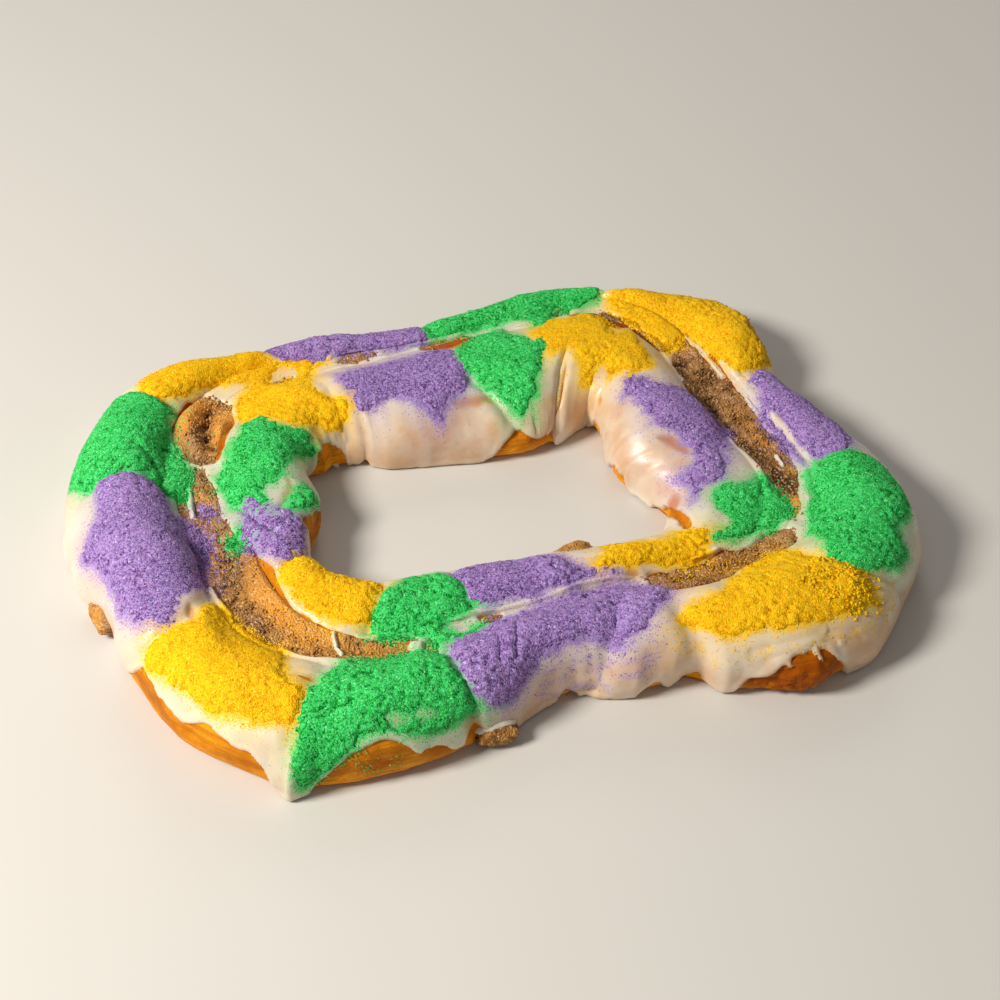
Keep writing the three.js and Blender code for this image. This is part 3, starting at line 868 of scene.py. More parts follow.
# Millimetres of icing on the surface, and of sinking below it where there's none
def icingDepth(s):
    shape, p = icingShape, s.base
    warp = waves(p, shape["warp"])
    lower = aboveEdge(s)
    inside = lower + shape["edgeWarp"] * warp
    broken = waves(p, shape["broken"], warp)
    opening = np.full(inside.shape, farOff)
    for window in bareWindows:
        opening = np.minimum(opening, -insideBy(s, window) + broken)
    inside = np.minimum(inside, opening)
    depth = waves(p, shape["vary"], shape["depth"])
    depth = depth + shape["flow"] * noise(downSide(s, shape["flowAcross"]), shape["flowSize"], 54)
    depth = waves(p, shape["fine"], depth)
    depth = depth * (1 - shape["sheerLess"] * sheernessOf(s))
    rounded = np.sqrt(1 - (1 - np.clip(inside / shape["edgeWidth"], 0, 1)) ** 2)
    rim = shape["rim"] * np.exp(-(((lower - shape["rimPlace"]) / shape["rimWidth"]) ** 2))
    soft = smoothStep(0, shape["softWithin"], lower - opening)  # the seam's edges slope more gently
    gentle = 1 - (1 - np.clip(inside / shape["seamEdge"], 0, 1)) ** 2
    rounded = rounded * (1 - soft) + gentle * soft
    fall = shape["fall"] - shape["softFall"] * soft
    depth = np.where(inside > 0, (depth + rim) * rounded, np.maximum(-shape["sink"], fall * inside))
    for width, height, line in icingStrands:
        away = distanceTo(s, line) + shape["strandWarp"] * warp
        strand = height * (1 - np.clip(away / width, 0, 1) ** 2)
        depth = np.where(away < width, np.maximum(depth, 0.0) * shape["underStrand"] + strand, depth)
    return depth - diveOf(s)


# How far icing and sugar dive under their neighbours past the seam's middle
def diveOf(s):
    return np.maximum(-s.far, 0) * icingShape["dive"]


# Coloured sugar: each patch is its outline, and how thickly it's strewn

sugarPatches = {
    "purple": [
        (1, [(0.924, 8), (0.940, 3), (0.960, -1), (0.985, -4), (1.010, -7), (1.035, -8), (1.052, -4),
             (1.066, 10), (1.058, 28), (1.050, 38), (1.040, 43), (1.020, 49), (1.010, 43), (1.000, 39),
             (0.985, 38), (0.970, 45), (0.955, 53), (0.943, 62), (0.932, 58), (0.926, 44), (0.923, 25)]),
        (1, [(0.948, -20), (0.960, -14), (0.980, -12), (1.000, -13), (1.020, -14.5), (1.035, -16),
             (1.045, -15), (1.045, -19), (1.030, -22), (1.020, -29), (1.012, -37), (1.000, -44),
             (0.985, -50), (0.970, -52), (0.955, -50), (0.945, -42), (0.946, -32)]),
        (1, [(0.155, -60), (0.165, -66), (0.172, -76), (0.180, -71), (0.190, -60), (0.200, -54),
             (0.210, -52), (0.230, -54), (0.245, -60), (0.260, -56), (0.280, -58), (0.300, -61),
             (0.312, -65), (0.320, -60), (0.312, -50), (0.300, -43), (0.290, -38), (0.285, -28),
             (0.280, -20), (0.270, -15), (0.250, -14), (0.235, -13), (0.220, -22), (0.210, -29),
             (0.195, -36), (0.180, -44), (0.172, -52), (0.163, -56)]),
        (1, [(0.199, 20), (0.204, 14), (0.215, 12), (0.232, 12), (0.243, 14), (0.248, 21), (0.258, 27),
             (0.270, 31), (0.271, 46), (0.256, 58), (0.235, 64), (0.216, 60), (0.205, 46), (0.200, 30)]),
        (1, [(0.477, -20), (0.475, -40), (0.478, -55), (0.488, -60), (0.500, -66), (0.507, -74),
             (0.515, -68), (0.520, -58), (0.535, -52), (0.545, -54), (0.553, -56), (0.563, -52),
             (0.560, -40), (0.562, -30), (0.556, -22), (0.530, -19), (0.500, -16), (0.485, -14)]),
        (1, [(0.485, 3), (0.500, 2), (0.530, 6), (0.545, 8), (0.565, 3), (0.578, 10), (0.585, 16),
             (0.588, 26), (0.580, 38), (0.560, 44), (0.540, 38), (0.520, 46), (0.500, 40), (0.487, 36),
             (0.483, 20)]),
        (1, [(0.703, 25), (0.702, 40), (0.705, 55), (0.712, 62), (0.725, 64), (0.735, 72), (0.742, 80),
             (0.750, 76), (0.760, 72), (0.775, 74), (0.785, 68), (0.792, 60), (0.796, 52), (0.788, 42),
             (0.785, 32), (0.782, 22), (0.772, 13), (0.757, 7), (0.742, 5), (0.732, 9), (0.727, 16),
             (0.720, 22), (0.710, 21)]),
        (0.8, [(0.715, -30), (0.725, -36), (0.740, -44), (0.750, -52), (0.765, -55), (0.780, -54),
               (0.795, -50), (0.799, -44), (0.793, -33), (0.780, -24), (0.770, -17), (0.760, -12),
               (0.745, -18), (0.735, -22), (0.722, -24)]),
        (0.9, [(0.719, -5), (0.724, -7), (0.727, -2), (0.722, 1), (0.718, -1)]),
        (0.12, [(0.715, -10), (0.760, -12), (0.790, -8), (0.790, 8), (0.760, 8), (0.720, 6)]),
        (0.5, [(0.720, -4), (0.735, -5), (0.760, -3), (0.785, 4), (0.792, 14), (0.788, 24), (0.776, 16),
               (0.760, 8), (0.742, 6), (0.728, 10)]),
        (0.5, [(0.966, 52), (0.985, 44), (1.000, 44), (1.012, 50), (1.024, 50), (1.036, 44), (1.046, 44),
               (1.044, 62), (1.034, 76), (1.022, 68), (1.010, 72), (0.994, 74), (0.975, 72), (0.962, 66)]),
        (0.10, [(0.222, -50), (0.240, -62), (0.232, -74), (0.216, -70), (0.212, -58)]),
    ],
    "green": [
        (1, [(0.877, -15), (0.876, -30), (0.880, -44), (0.890, -52), (0.905, -56), (0.920, -50),
             (0.935, -45), (0.945, -38), (0.952, -28), (0.960, -23), (0.952, -17), (0.945, -14),
             (0.930, -12), (0.920, -6), (0.935, 0), (0.950, -3), (0.945, 3), (0.930, 6), (0.918, 4),
             (0.915, -5), (0.905, -8), (0.890, -8), (0.880, -12)]),
        (1, [(0.870, 8), (0.866, 30), (0.862, 42), (0.862, 60), (0.864, 75), (0.866, 90), (0.868, 100),
             (0.872, 96), (0.876, 86), (0.882, 76), (0.886, 68), (0.895, 64), (0.905, 68), (0.915, 70),
             (0.925, 64), (0.929, 66), (0.931, 60), (0.929, 54), (0.926, 45), (0.922, 30), (0.918, 20),
             (0.912, 8), (0.900, 4), (0.885, 5)]),
        (0.25, [(0.882, 82), (0.888, 76), (0.896, 76), (0.901, 82), (0.896, 90), (0.886, 92)]),
        (1, [(0.122, -24), (0.128, -30), (0.135, -31), (0.145, -31), (0.150, -40), (0.157, -46),
             (0.165, -48), (0.172, -44), (0.178, -34), (0.183, -26), (0.190, -18), (0.188, -12),
             (0.182, -8), (0.175, -3), (0.168, 0), (0.160, -4), (0.152, -6), (0.148, -12), (0.140, -17),
             (0.130, -20)]),
        (0.1, [(0.185, -35), (0.200, -30), (0.220, -16), (0.215, -8), (0.195, -10), (0.185, -18)]),
        (1, [(0.150, 16), (0.145, 26), (0.137, 36), (0.132, 44), (0.132, 56), (0.136, 64), (0.142, 70),
             (0.148, 78), (0.155, 80), (0.158, 70), (0.163, 66), (0.170, 72), (0.178, 76), (0.187, 70),
             (0.195, 64), (0.202, 56), (0.204, 45), (0.200, 32), (0.198, 22), (0.190, 14), (0.180, 11),
             (0.170, 11), (0.160, 13)]),
        (1, [(0.408, -30), (0.405, -45), (0.410, -58), (0.420, -66), (0.430, -76), (0.445, -78),
             (0.452, -86), (0.458, -82), (0.462, -72), (0.470, -62), (0.472, -50), (0.476, -40),
             (0.474, -28), (0.470, -20), (0.462, -12), (0.450, -6), (0.440, -6), (0.432, -14),
             (0.425, -24), (0.418, -34), (0.412, -38)]),
        (1, [(0.372, 8), (0.380, 3), (0.395, 2), (0.398, -10), (0.405, -17), (0.412, -14), (0.413, -5),
             (0.425, 0), (0.440, 2), (0.460, 4), (0.475, 5), (0.487, 10), (0.488, 20), (0.485, 32),
             (0.470, 40), (0.450, 34), (0.430, 42), (0.405, 36), (0.385, 40), (0.374, 28), (0.371, 16)]),
        (1, [(0.652, 20), (0.650, 35), (0.650, 50), (0.652, 62), (0.660, 75), (0.675, 82), (0.690, 84),
             (0.700, 82), (0.708, 72), (0.707, 60), (0.703, 50), (0.702, 35), (0.704, 25), (0.708, 20),
             (0.711, 10), (0.708, 4), (0.700, 2), (0.692, 0), (0.685, 1), (0.679, 5), (0.672, 11),
             (0.664, 16), (0.656, 22)]),
        (1, [(0.620, -58), (0.630, -50), (0.633, -40), (0.638, -33), (0.645, -28), (0.660, -28),
             (0.675, -25), (0.688, -21), (0.698, -15), (0.712, -16), (0.725, -20), (0.720, -28),
             (0.730, -32), (0.728, -38), (0.715, -40), (0.705, -48), (0.690, -57), (0.670, -63),
             (0.650, -70), (0.630, -74), (0.620, -68)]),
        (1, [(0.700, -68), (0.715, -72), (0.725, -68), (0.740, -56), (0.748, -48), (0.740, -46),
             (0.730, -50), (0.718, -58)]),
        (0.7, [(0.748, -20), (0.762, -19), (0.765, -10), (0.755, -7), (0.749, -12)]),
        (0.18, [(0.740, -44), (0.760, -48), (0.785, -40), (0.780, -26), (0.755, -22)]),
        (0.5, [(0.7625, 58), (0.767, 57), (0.768, 63), (0.764, 64)]),
        (0.4, [(0.771, 36), (0.776, 36), (0.776, 42), (0.771, 42)]),
        (0.22, [(0.932, 58), (0.944, 56), (0.946, 66), (0.940, 76), (0.934, 80), (0.931, 68)]),
        (0.3, [(0.386, -62), (0.392, -62), (0.397, -76), (0.394, -92), (0.388, -88)]),
    ],
    "gold": [
        (1, [(0.797, -30), (0.797, -42), (0.800, -52), (0.810, -60), (0.830, -62), (0.850, -62),
             (0.870, -58), (0.878, -50), (0.878, -40), (0.876, -30), (0.878, -22), (0.870, -19.5),
             (0.855, -19.5), (0.840, -21), (0.825, -23), (0.810, -25), (0.803, -27)]),
        (0.18, [(0.815, -14), (0.840, -13), (0.855, -6), (0.845, 2), (0.820, 0)]),
        (0.42, [(0.378, -58), (0.387, -60), (0.390, -76), (0.388, -94), (0.381, -84), (0.376, -70)]),
        (0.45, [(0.060, 62), (0.072, 68), (0.080, 74), (0.076, 80), (0.064, 76)]),
        (0.5, [(0.050, 46), (0.060, 58), (0.080, 72), (0.100, 84), (0.118, 88), (0.134, 80), (0.140, 64),
                (0.140, 92), (0.120, 98), (0.100, 92), (0.080, 86), (0.062, 78), (0.048, 60)]),
        (1, [(0.795, 20), (0.797, 12), (0.820, 11), (0.840, 11), (0.845, 25), (0.850, 36), (0.860, 46),
             (0.862, 58), (0.860, 68), (0.850, 72), (0.840, 74), (0.825, 74), (0.810, 74), (0.800, 80),
             (0.795, 74), (0.795, 60), (0.798, 45), (0.800, 38), (0.797, 30)]),
        (1, [(0.112, 8), (0.130, 6), (0.137, 10), (0.134, 22), (0.132, 35), (0.131, 50), (0.133, 64),
             (0.130, 74), (0.125, 84), (0.115, 82), (0.105, 80), (0.095, 76), (0.085, 70), (0.075, 68),
             (0.066, 58), (0.055, 50), (0.060, 42), (0.075, 38), (0.090, 32), (0.100, 22), (0.107, 14)]),
        (1, [(0.036, -22), (0.045, -32), (0.048, -42), (0.055, -44), (0.065, -38), (0.080, -36),
             (0.095, -35), (0.105, -38), (0.112, -44), (0.120, -42), (0.128, -36), (0.125, -29),
             (0.115, -22), (0.105, -14), (0.090, -12), (0.075, -16), (0.060, -17), (0.045, -19)]),
        (0.3, [(0.078, -12), (0.110, -12), (0.140, -8), (0.146, 4), (0.125, 8), (0.095, 6), (0.080, 2)]),
        (1, [(0.275, 25), (0.290, 20), (0.305, 18), (0.318, 14), (0.316, 5), (0.320, -5), (0.330, -9),
             (0.345, -8), (0.355, -4), (0.365, 0), (0.368, 8), (0.366, 20), (0.360, 34), (0.350, 44),
             (0.338, 54), (0.322, 64), (0.305, 68), (0.288, 64), (0.276, 54), (0.271, 40), (0.272, 32)]),
        (1, [(0.310, -36), (0.316, -48), (0.325, -58), (0.338, -70), (0.350, -82), (0.360, -86),
             (0.368, -80), (0.372, -72), (0.378, -64), (0.383, -58), (0.390, -54), (0.398, -58),
             (0.405, -52), (0.410, -42), (0.416, -34), (0.416, -26), (0.410, -18), (0.405, -12),
             (0.400, -10), (0.390, -12), (0.380, -10), (0.370, -12), (0.360, -22), (0.355, -32),
             (0.350, -30), (0.343, -22), (0.335, -28), (0.325, -30), (0.318, -32)]),
        (1, [(0.560, 3), (0.568, -2), (0.575, -12), (0.580, -22), (0.585, -33), (0.575, -42),
             (0.562, -46), (0.570, -56), (0.580, -62), (0.590, -64), (0.605, -60), (0.620, -54),
             (0.630, -46), (0.638, -34), (0.643, -28), (0.638, -19), (0.630, -11), (0.620, -6),
             (0.611, -1), (0.612, 6), (0.620, 13), (0.632, 20), (0.644, 25), (0.652, 35), (0.650, 48),
             (0.640, 54), (0.620, 50), (0.600, 44), (0.585, 36), (0.588, 26), (0.585, 16), (0.570, 8)]),
    ],
}

# Places inside a patch where the sugar lies thinly, and how thickly it lies there
sugarGaps = {
    "gold": [
        (0.45, [(0.5965, -3.5), (0.595, 0), (0.590, 3), (0.586, 7), (0.580, 5.5), (0.578, 1),
                (0.584, -3.5), (0.591, -5.5)]),
        (0.3, [(0.340, -80), (0.346, -84), (0.352, -80), (0.350, -70), (0.343, -70)]),
    ],
    "green": [
        (0.76, [(0.892, 58), (0.897, 56), (0.901, 58), (0.906, 55), (0.912, 58), (0.908, 61),
                (0.902, 60), (0.896, 61)]),
    ],
    "purple": [
        (0.1, [(0.195, 18), (0.210, 17), (0.224, 18), (0.237, 19), (0.237, 22), (0.224, 22),
               (0.210, 21), (0.195, 21)]),
        (0.4, [(0.968, 44), (0.975, 42), (0.982, 44), (0.978, 52), (0.968, 52)]),
    ],
}

sugarBed = {
    "depth": 0.9, "clump": 1.1, "clumpSize": 3.7, "clumpMiddle": 0.42,
    "fine": 0.7, "fineSize": 2.2, "fineMiddle": 0.4, "swell": 0.8, "swellSize": 14,
    "thinIn": 2.2, "edgeIn": 8.0, "edgeOut": 0.5, "edgeDown": 0.7, "ragged": 2.4, "raggedSize": 2.4,
    "under": 1.2, "shownFrom": -1.2, "madeFrom": -4, "least": 0.3,
    # painted shade: the bed is darker than the grains on it, as the shade between them, darker still in its
    # cracks and lighter where it stands higher
    "crackShade": 0.8, "crackMiddle": 0.05, "crackRange": (-0.15, 0.6),
    "shade": 0.35, "heightShade": 0.15, "shadeMost": 0.8,
    # how clumpy it is, and for some places (turn, across, size along, size across) how much more so
    "clumpy": 0.25, "clumpyVary": 1.1, "clumpyEdge": (-0.4, 0.6), "clumpySize": 30,
    "clumpyRange": (0.12, 1.6),
    "lively": {
        "gold": [(0.830, 45, 70, 45, -0.5), (0.110, 66, 60, 22, 0.6), (0.128, 40, 18, 40, 0.5),
                 (0.290, 56, 22, 20, 0.7), (0.610, 20, 50, 30, -0.4), (0.395, -45, 30, 26, -0.2),
                 (0.580, -56, 20, 14, 0.7)],
        "purple": [(0.038, 22, 18, 26, 0.8), (0.944, 46, 20, 20, 0.7), (0.990, 12, 46, 24, -0.35),
                   (0.290, -50, 30, 16, 0.5), (0.740, 45, 50, 30, -0.2)],
        "green": [(0.155, 45, 26, 34, 0.8), (0.665, 20, 30, 20, 0.5), (0.905, 50, 26, 26, 0.4),
                  (0.690, 55, 40, 30, -0.2)],
    },
    "stepsRound": {outer: 1160, inner: 900},
    "stepsAcross": {outer: (16, 92), inner: (16, 100)},
}

# How the sugar thins out round its patches
strewing = {
    "margin": 26, "warp": [(1.9, 10, 0), (1.2, 3.8, 1)], "patchSize": 4.5, "patchEdge": (-0.5, 0.6),
    "streak": 0.75, "streakVary": 0.5, "streakSize": 8, "streakAcross": 0.2,
    "edge": (-3.6, 2.4), "thick": 0.7, "inside": 0.72, "atEdge": 0.28, "edgeWidth": 3,
    "outside": 0.2, "outsideReach": 2.2, "dust": 0.95, "dustReach": 7.5,
    "looseEdge": (-4, 5), "looseLeast": 0.35, "looseMost": 0.5,
    "gapEdge": (-2.0, 2.2), "gapWarp": 0.7, "gapLeast": 0.3, "least": 0.006,
}

seeds = {"purple": 101, "green": 211, "gold": 307}


# For one colour: millimetres inside its nearest patch, how densely its loose grains lie, and how much
# of its dust is on the icing
def sugarCover(s, colour):
    strew, p, seed = strewing, s.base, seeds[colour]
    warp = waves(p, [(height, size, seed + step) for height, size, step in strew["warp"]])
    patchy = smoothStep(*strew["patchEdge"], noise(p, strew["patchSize"], seed + 3))
    runs = noise(downSide(s, strew["streakAcross"]), strew["streakSize"], seed + 4)
    streak = strew["streak"] + strew["streakVary"] * runs
    best = np.full(s.turn.shape, -farOff)
    dense, dust = np.zeros(s.turn.shape), np.zeros(s.turn.shape)
    for strength, outline in sugarPatches[colour]:
        within = insideBy(s, outline, strew["margin"]) + warp
        for _, gap in sugarGaps[colour]:
            within = np.minimum(within, -insideBy(s, gap) - strew["gapWarp"] * warp)
        spread = smoothStep(*strew["edge"], within)
        beyond = np.minimum(within, 0)
        if strength >= strew["thick"]:
            best = np.maximum(best, within if strength == 1 else np.minimum(within, sugarBed["thinIn"]))
            edge = np.exp(-((within / strew["edgeWidth"]) ** 2))
            outside = np.exp(beyond / strew["outsideReach"]) * patchy
            grown = strew["inside"] * spread + strew["atEdge"] * edge
            dense = np.maximum(dense, grown + strew["outside"] * outside * (1 - spread))
            faded = strew["dust"] * (1 - spread) * np.exp(beyond / strew["dustReach"]) * streak
            dust = np.maximum(dust, spread + faded)
        else:
            most = strew["looseLeast"] + (1 - strew["looseLeast"]) * patchy
            loose = smoothStep(*strew["looseEdge"], within) * most
            dense = np.maximum(dense, strew["looseMost"] * strength * loose)
            dust = np.maximum(dust, strength * loose)
    for share, gap in sugarGaps[colour]:
        near = smoothStep(*strew["gapEdge"], insideBy(s, gap) + strew["gapWarp"] * warp)
        left = strew["gapLeast"] + (1 - strew["gapLeast"]) * patchy
        dense = dense * (1 - near) + share * near * left
        dust = dust * (1 - near) + share * near
    return best, np.where(dense < strew["least"], 0, dense), np.clip(dust, 0, 1)


# Height of the strewn sugar above the icing, and how deep in its cracks a place is, used as painted shade
# there
def sugarHeight(s, colour):
    bed, p, seed = sugarBed, s.base, seeds[colour]
    within = s.covers[colour][0]
    height, crack = np.zeros(within.shape), np.zeros(within.shape)
    close = within > bed["madeFrom"]
    q = p[close]
    clumpy = smoothStep(*bed["clumpyEdge"], noise(q, bed["clumpySize"], seed + 11))
    clumpy = bed["clumpy"] + bed["clumpyVary"] * clumpy + spotsOf(s, bed["lively"][colour])[close]
    clumpy = np.clip(clumpy, *bed["clumpyRange"])
    rough = (
        clumpy * bed["clump"] * (clumps(q, bed["clumpSize"], seed) - bed["clumpMiddle"])
        + (0.5 + 0.5 * clumpy) * bed["fine"] * (clumps(q, bed["fineSize"], seed + 5) - bed["fineMiddle"])
    )
    crack[close] = np.clip(bed["crackMiddle"] - bed["crackShade"] * rough, *bed["crackRange"])
    rough = rough + bed["swell"] * noise(q, bed["swellSize"], seed + 9)
    ragged = within[close] + bed["ragged"] * noise(q, bed["raggedSize"], seed + 13)
    grow = np.clip((ragged + bed["edgeOut"]) / bed["edgeIn"], 0, 1)
    grow = 1 - (1 - grow) ** 2
    height[close] = -bed["edgeDown"] + (bed["edgeDown"] + bed["depth"] + rough) * grow
    return height, crack


# Materials

def newMaterial(name):
    material = bpy.data.materials.new(name)
    material.use_nodes = True
    return material, material.node_tree.nodes, material.node_tree.links


def newGroup(name, inputs, outputs):
    group = bpy.data.node_groups.new(name, "ShaderNodeTree")
    for label, kind, value in inputs:
        socket = group.interface.new_socket(label, in_out="INPUT", socket_type="NodeSocket" + kind)
        socket.default_value = value
    for label, kind in outputs:
        group.interface.new_socket(label, in_out="OUTPUT", socket_type="NodeSocket" + kind)
    given, made = group.nodes.new("NodeGroupInput"), group.nodes.new("NodeGroupOutput")
    return group.nodes, group.links, given.outputs, made.inputs


def feed(links, socket, value):
    if isinstance(value, bpy.types.NodeSocket):
        links.new(value, socket)
    else:
        socket.default_value = value


# Sockets of a mix node are told by their numbers, since kinds of values share their labels
def mixColours(nodes, links, share, low, high):
    mix = nodes.new("ShaderNodeMix")
    mix.data_type = "RGBA"
    for index, value in ((0, share), (6, low), (7, high)):
        feed(links, mix.inputs[index], value)
    return mix.outputs[2]


def reckon(nodes, links, operation, *values, clamp=False):
    node = nodes.new("ShaderNodeMath")
    node.operation, node.use_clamp = operation, clamp
    for socket, value in zip(node.inputs, values):
        feed(links, socket, value)
    return node.outputs[0]


def between(nodes, links, value, low, high, fromLow=0.0, fromHigh=1.0):
    node = nodes.new("ShaderNodeMapRange")
    feed(links, node.inputs["Value"], value)
    setValues(node, {"From Min": fromLow, "From Max": fromHigh, "To Min": low, "To Max": high})
    return node.outputs["Result"]


def measure(nodes, name):
    node = nodes.new("ShaderNodeAttribute")
    node.attribute_name = name
    return node.outputs["Fac"]


def addGroup(nodes, links, name, **values):
    node = nodes.new("ShaderNodeGroup")
    node.node_tree = bpy.data.node_groups[name]
    for label, value in values.items():
        feed(links, node.inputs[label], value)
    return node.outputs


def addBump(nodes, links, surface, height, strength, distance):
    bump = nodes.new("ShaderNodeBump")
    setValues(bump, {"Strength": strength, "Distance": distance})
    links.new(height, bump.inputs["Height"])
    links.new(bump.outputs["Normal"], surface.inputs["Normal"])


# Unevenness at two sizes: a mask for colours and a height for bump
def makeMottleGroup():
    nodes, links, given, made = newGroup(
        "mottle",
        [("Size", "Float", 80.0), ("FineSize", "Float", 600.0), ("Contrast", "Float", 1.0),
         ("FineShare", "Float", 0.4)],
        [("Mask", "Float"), ("Height", "Float")],
    )
    place = nodes.new("ShaderNodeTexCoord")
    layers = []
    for label, detail in (("Size", 3.0), ("FineSize", 2.0)):
        texture = nodes.new("ShaderNodeTexNoise")
        links.new(place.outputs["Object"], texture.inputs["Vector"])
        links.new(given[label], texture.inputs["Scale"])
        texture.inputs["Detail"].default_value = detail
        layers.append(texture.outputs["Fac"])
    mix = nodes.new("ShaderNodeMix")
    for index, value in ((0, given["FineShare"]), (2, layers[0]), (3, layers[1])):
        links.new(value, mix.inputs[index])
    centred = reckon(nodes, links, "SUBTRACT", mix.outputs[0], 0.5)
    mask = reckon(nodes, links, "MULTIPLY_ADD", centred, given["Contrast"], 0.5, clamp=True)
    links.new(mask, made["Mask"])
    links.new(mix.outputs[0], made["Height"])


# Small grains lying side by side: each one's own chance value and its rounded height
def makeGrainGroup():
    nodes, links, given, made = newGroup(
        "grains",
        [("Size", "Float", 900.0)],
        [(label, "Float") for label in ("Chance", "Second", "Third", "Tone", "Height")],
    )
    place = nodes.new("ShaderNodeTexCoord")
    cells = nodes.new("ShaderNodeTexVoronoi")
    links.new(place.outputs["Object"], cells.inputs["Vector"])
    links.new(given["Size"], cells.inputs["Scale"])
    parts = nodes.new("ShaderNodeSeparateColor")
    links.new(cells.outputs["Color"], parts.inputs[0])
    for label, socket in zip(("Chance", "Second", "Third"), parts.outputs):
        links.new(socket, made[label])
    chance = nodes.new("ShaderNodeTexWhiteNoise")
    links.new(cells.outputs["Position"], chance.inputs["Vector"])
    links.new(chance.outputs["Value"], made["Tone"])
    links.new(reckon(nodes, links, "SUBTRACT", 1.0, cells.outputs["Distance"]), made["Height"])


dustCurve = 2.4  # grains of dust get rarer faster than the stain under them fades


# Coloured dust lying on another colour, told by how much of each there is
def makeDustGroup():
    nodes, links, given, made = newGroup(
        "sugarDust",
        [("Under", "Color", (1, 1, 1, 1)), ("Purple", "Float", 0.0), ("Green", "Float", 0.0),
         ("Gold", "Float", 0.0), ("Size", "Float", 1600.0), ("Stain", "Float", 0.6)],
        [("Colour", "Color"), ("Cover", "Float"), ("Height", "Float")],
    )
    grain = addGroup(nodes, links, "grains", Size=given["Size"])
    colour, cover = given["Under"], 0.0
    for label, chance in (("Purple", "Chance"), ("Green", "Second"), ("Gold", "Third")):
        finish = sugarFinish[label.lower()]
        stained = reckon(nodes, links, "MULTIPLY", given[label], given["Stain"])
        colour = mixColours(nodes, links, stained, colour, finish["stain"])
        share = reckon(nodes, links, "POWER", given[label], dustCurve)
        there = reckon(nodes, links, "LESS_THAN", grain[chance], share)
        tone = mixColours(nodes, links, grain["Tone"], finish["mid"], finish["light"])
        colour = mixColours(nodes, links, there, colour, tone)
        cover = reckon(nodes, links, "MAXIMUM", there, cover)
    links.new(colour, made["Colour"])
    links.new(cover, made["Cover"])
    links.new(reckon(nodes, links, "MULTIPLY", cover, grain["Height"]), made["Height"])


# each colour's glint is a painted highlight that a few grains take
sugarFinish = {
    "purple": {
        "light": (0.46, 0.305, 0.62, 1), "mid": (0.31, 0.175, 0.46, 1), "dark": (0.105, 0.044, 0.18, 1),
        "glint": (0.60, 0.48, 0.73, 1), "stain": (0.45, 0.32, 0.53, 1),
    },
    "green": {
        "light": (0.085, 0.72, 0.20, 1), "mid": (0.024, 0.49, 0.078, 1), "dark": (0.002, 0.18, 0.015, 1),
        "glint": (0.24, 0.80, 0.34, 1), "stain": (0.20, 0.56, 0.22, 1),
    },
    "gold": {
        "light": (1.0, 0.61, 0.009, 1), "mid": (0.98, 0.515, 0.003, 1), "dark": (0.76, 0.29, 0.001, 1),
        "glint": (1.0, 0.74, 0.08, 1), "stain": (0.88, 0.60, 0.12, 1),
    },
}

makeMottleGroup()
makeGrainGroup()
makeDustGroup()

doughFinish = {
    "pale": (0.90, 0.43, 0.018, 1), "gold": (0.80, 0.25, 0.002, 1), "brown": (0.34, 0.070, 0.001, 1),
    "fibre": (0.42, 0.115, 0.003, 1), "roughness": (0.36, 0.60), "bump": (0.5, 0.0016),
    "mottle": {"Size": 90.0, "FineSize": 650.0, "Contrast": 3.0, "FineShare": 0.42},
    "fibres": {"Scale": 1.0, "Detail": 3.0}, "fibreRange": (0.36, 0.50), "fibreShare": 0.6,
    "surface": {
        "Coat Weight": 0.03, "Coat Roughness": 0.2, "Specular IOR Level": 0.07,
        "Subsurface Weight": 0.06, "Subsurface Scale": 0.003,
    },
}


def makeDoughMaterial():
    finish = doughFinish
    material, nodes, links = newMaterial("bakedDough")
    surface = nodes["Principled BSDF"]
    setValues(surface, finish["surface"])
    mottled = addGroup(nodes, links, "mottle", **finish["mottle"])
    lie = nodes.new("ShaderNodeAttribute")
    lie.attribute_name = "lie"
    fibres = nodes.new("ShaderNodeTexNoise")
    links.new(lie.outputs["Vector"], fibres.inputs["Vector"])
    setValues(fibres, finish["fibres"])
    colour = mixColours(nodes, links, mottled["Mask"], finish["pale"], finish["gold"])
    # the bake measure browns the crust, and beside the seam it also paints shade
    colour = mixColours(nodes, links, measure(nodes, "bake"), colour, finish["brown"])
    dark = between(nodes, links, fibres.outputs["Fac"], 1, 0, *finish["fibreRange"])
    dark = reckon(nodes, links, "MULTIPLY", dark, finish["fibreShare"], clamp=True)
    colour = mixColours(nodes, links, dark, colour, finish["fibre"])
    links.new(colour, surface.inputs["Base Color"])
    links.new(between(nodes, links, mottled["Mask"], *finish["roughness"]), surface.inputs["Roughness"])
    height = reckon(nodes, links, "ADD", mottled["Height"], fibres.outputs["Fac"])
    addBump(nodes, links, surface, height, *finish["bump"])
    return material


def addDust(nodes, links, colour, size, stain):
    amounts = {label: measure(nodes, "dust" + label) for label in ("Purple", "Green", "Gold")}
    return addGroup(nodes, links, "sugarDust", Under=colour, Size=size, Stain=stain, **amounts)


fillingFinish = {
    "dark": (0.075, 0.026, 0.007, 1), "mid": (0.23, 0.095, 0.031, 1), "light": (0.55, 0.30, 0.125, 1),
    "warm": (0.78, 0.34, 0.050, 1), "glint": (0.74, 0.50, 0.26, 1),
    "roughness": (0.35, 0.75), "bump": (0.8, 0.0012), "grainSize": 820.0,
    "mottle": {"Size": 130.0, "FineSize": 600.0, "Contrast": 3.2, "FineShare": 0.35},
    "grainRange": (-0.3, 0.6), "grainShare": 0.5, "glintAbove": 0.91, "glintShare": 0.6,
    "dust": (1100.0, 0.0),  # the size of its grains, and how much they stain
    "surface": {"Specular IOR Level": 0.14, "Coat Weight": 0.08, "Coat Roughness": 0.25},
}


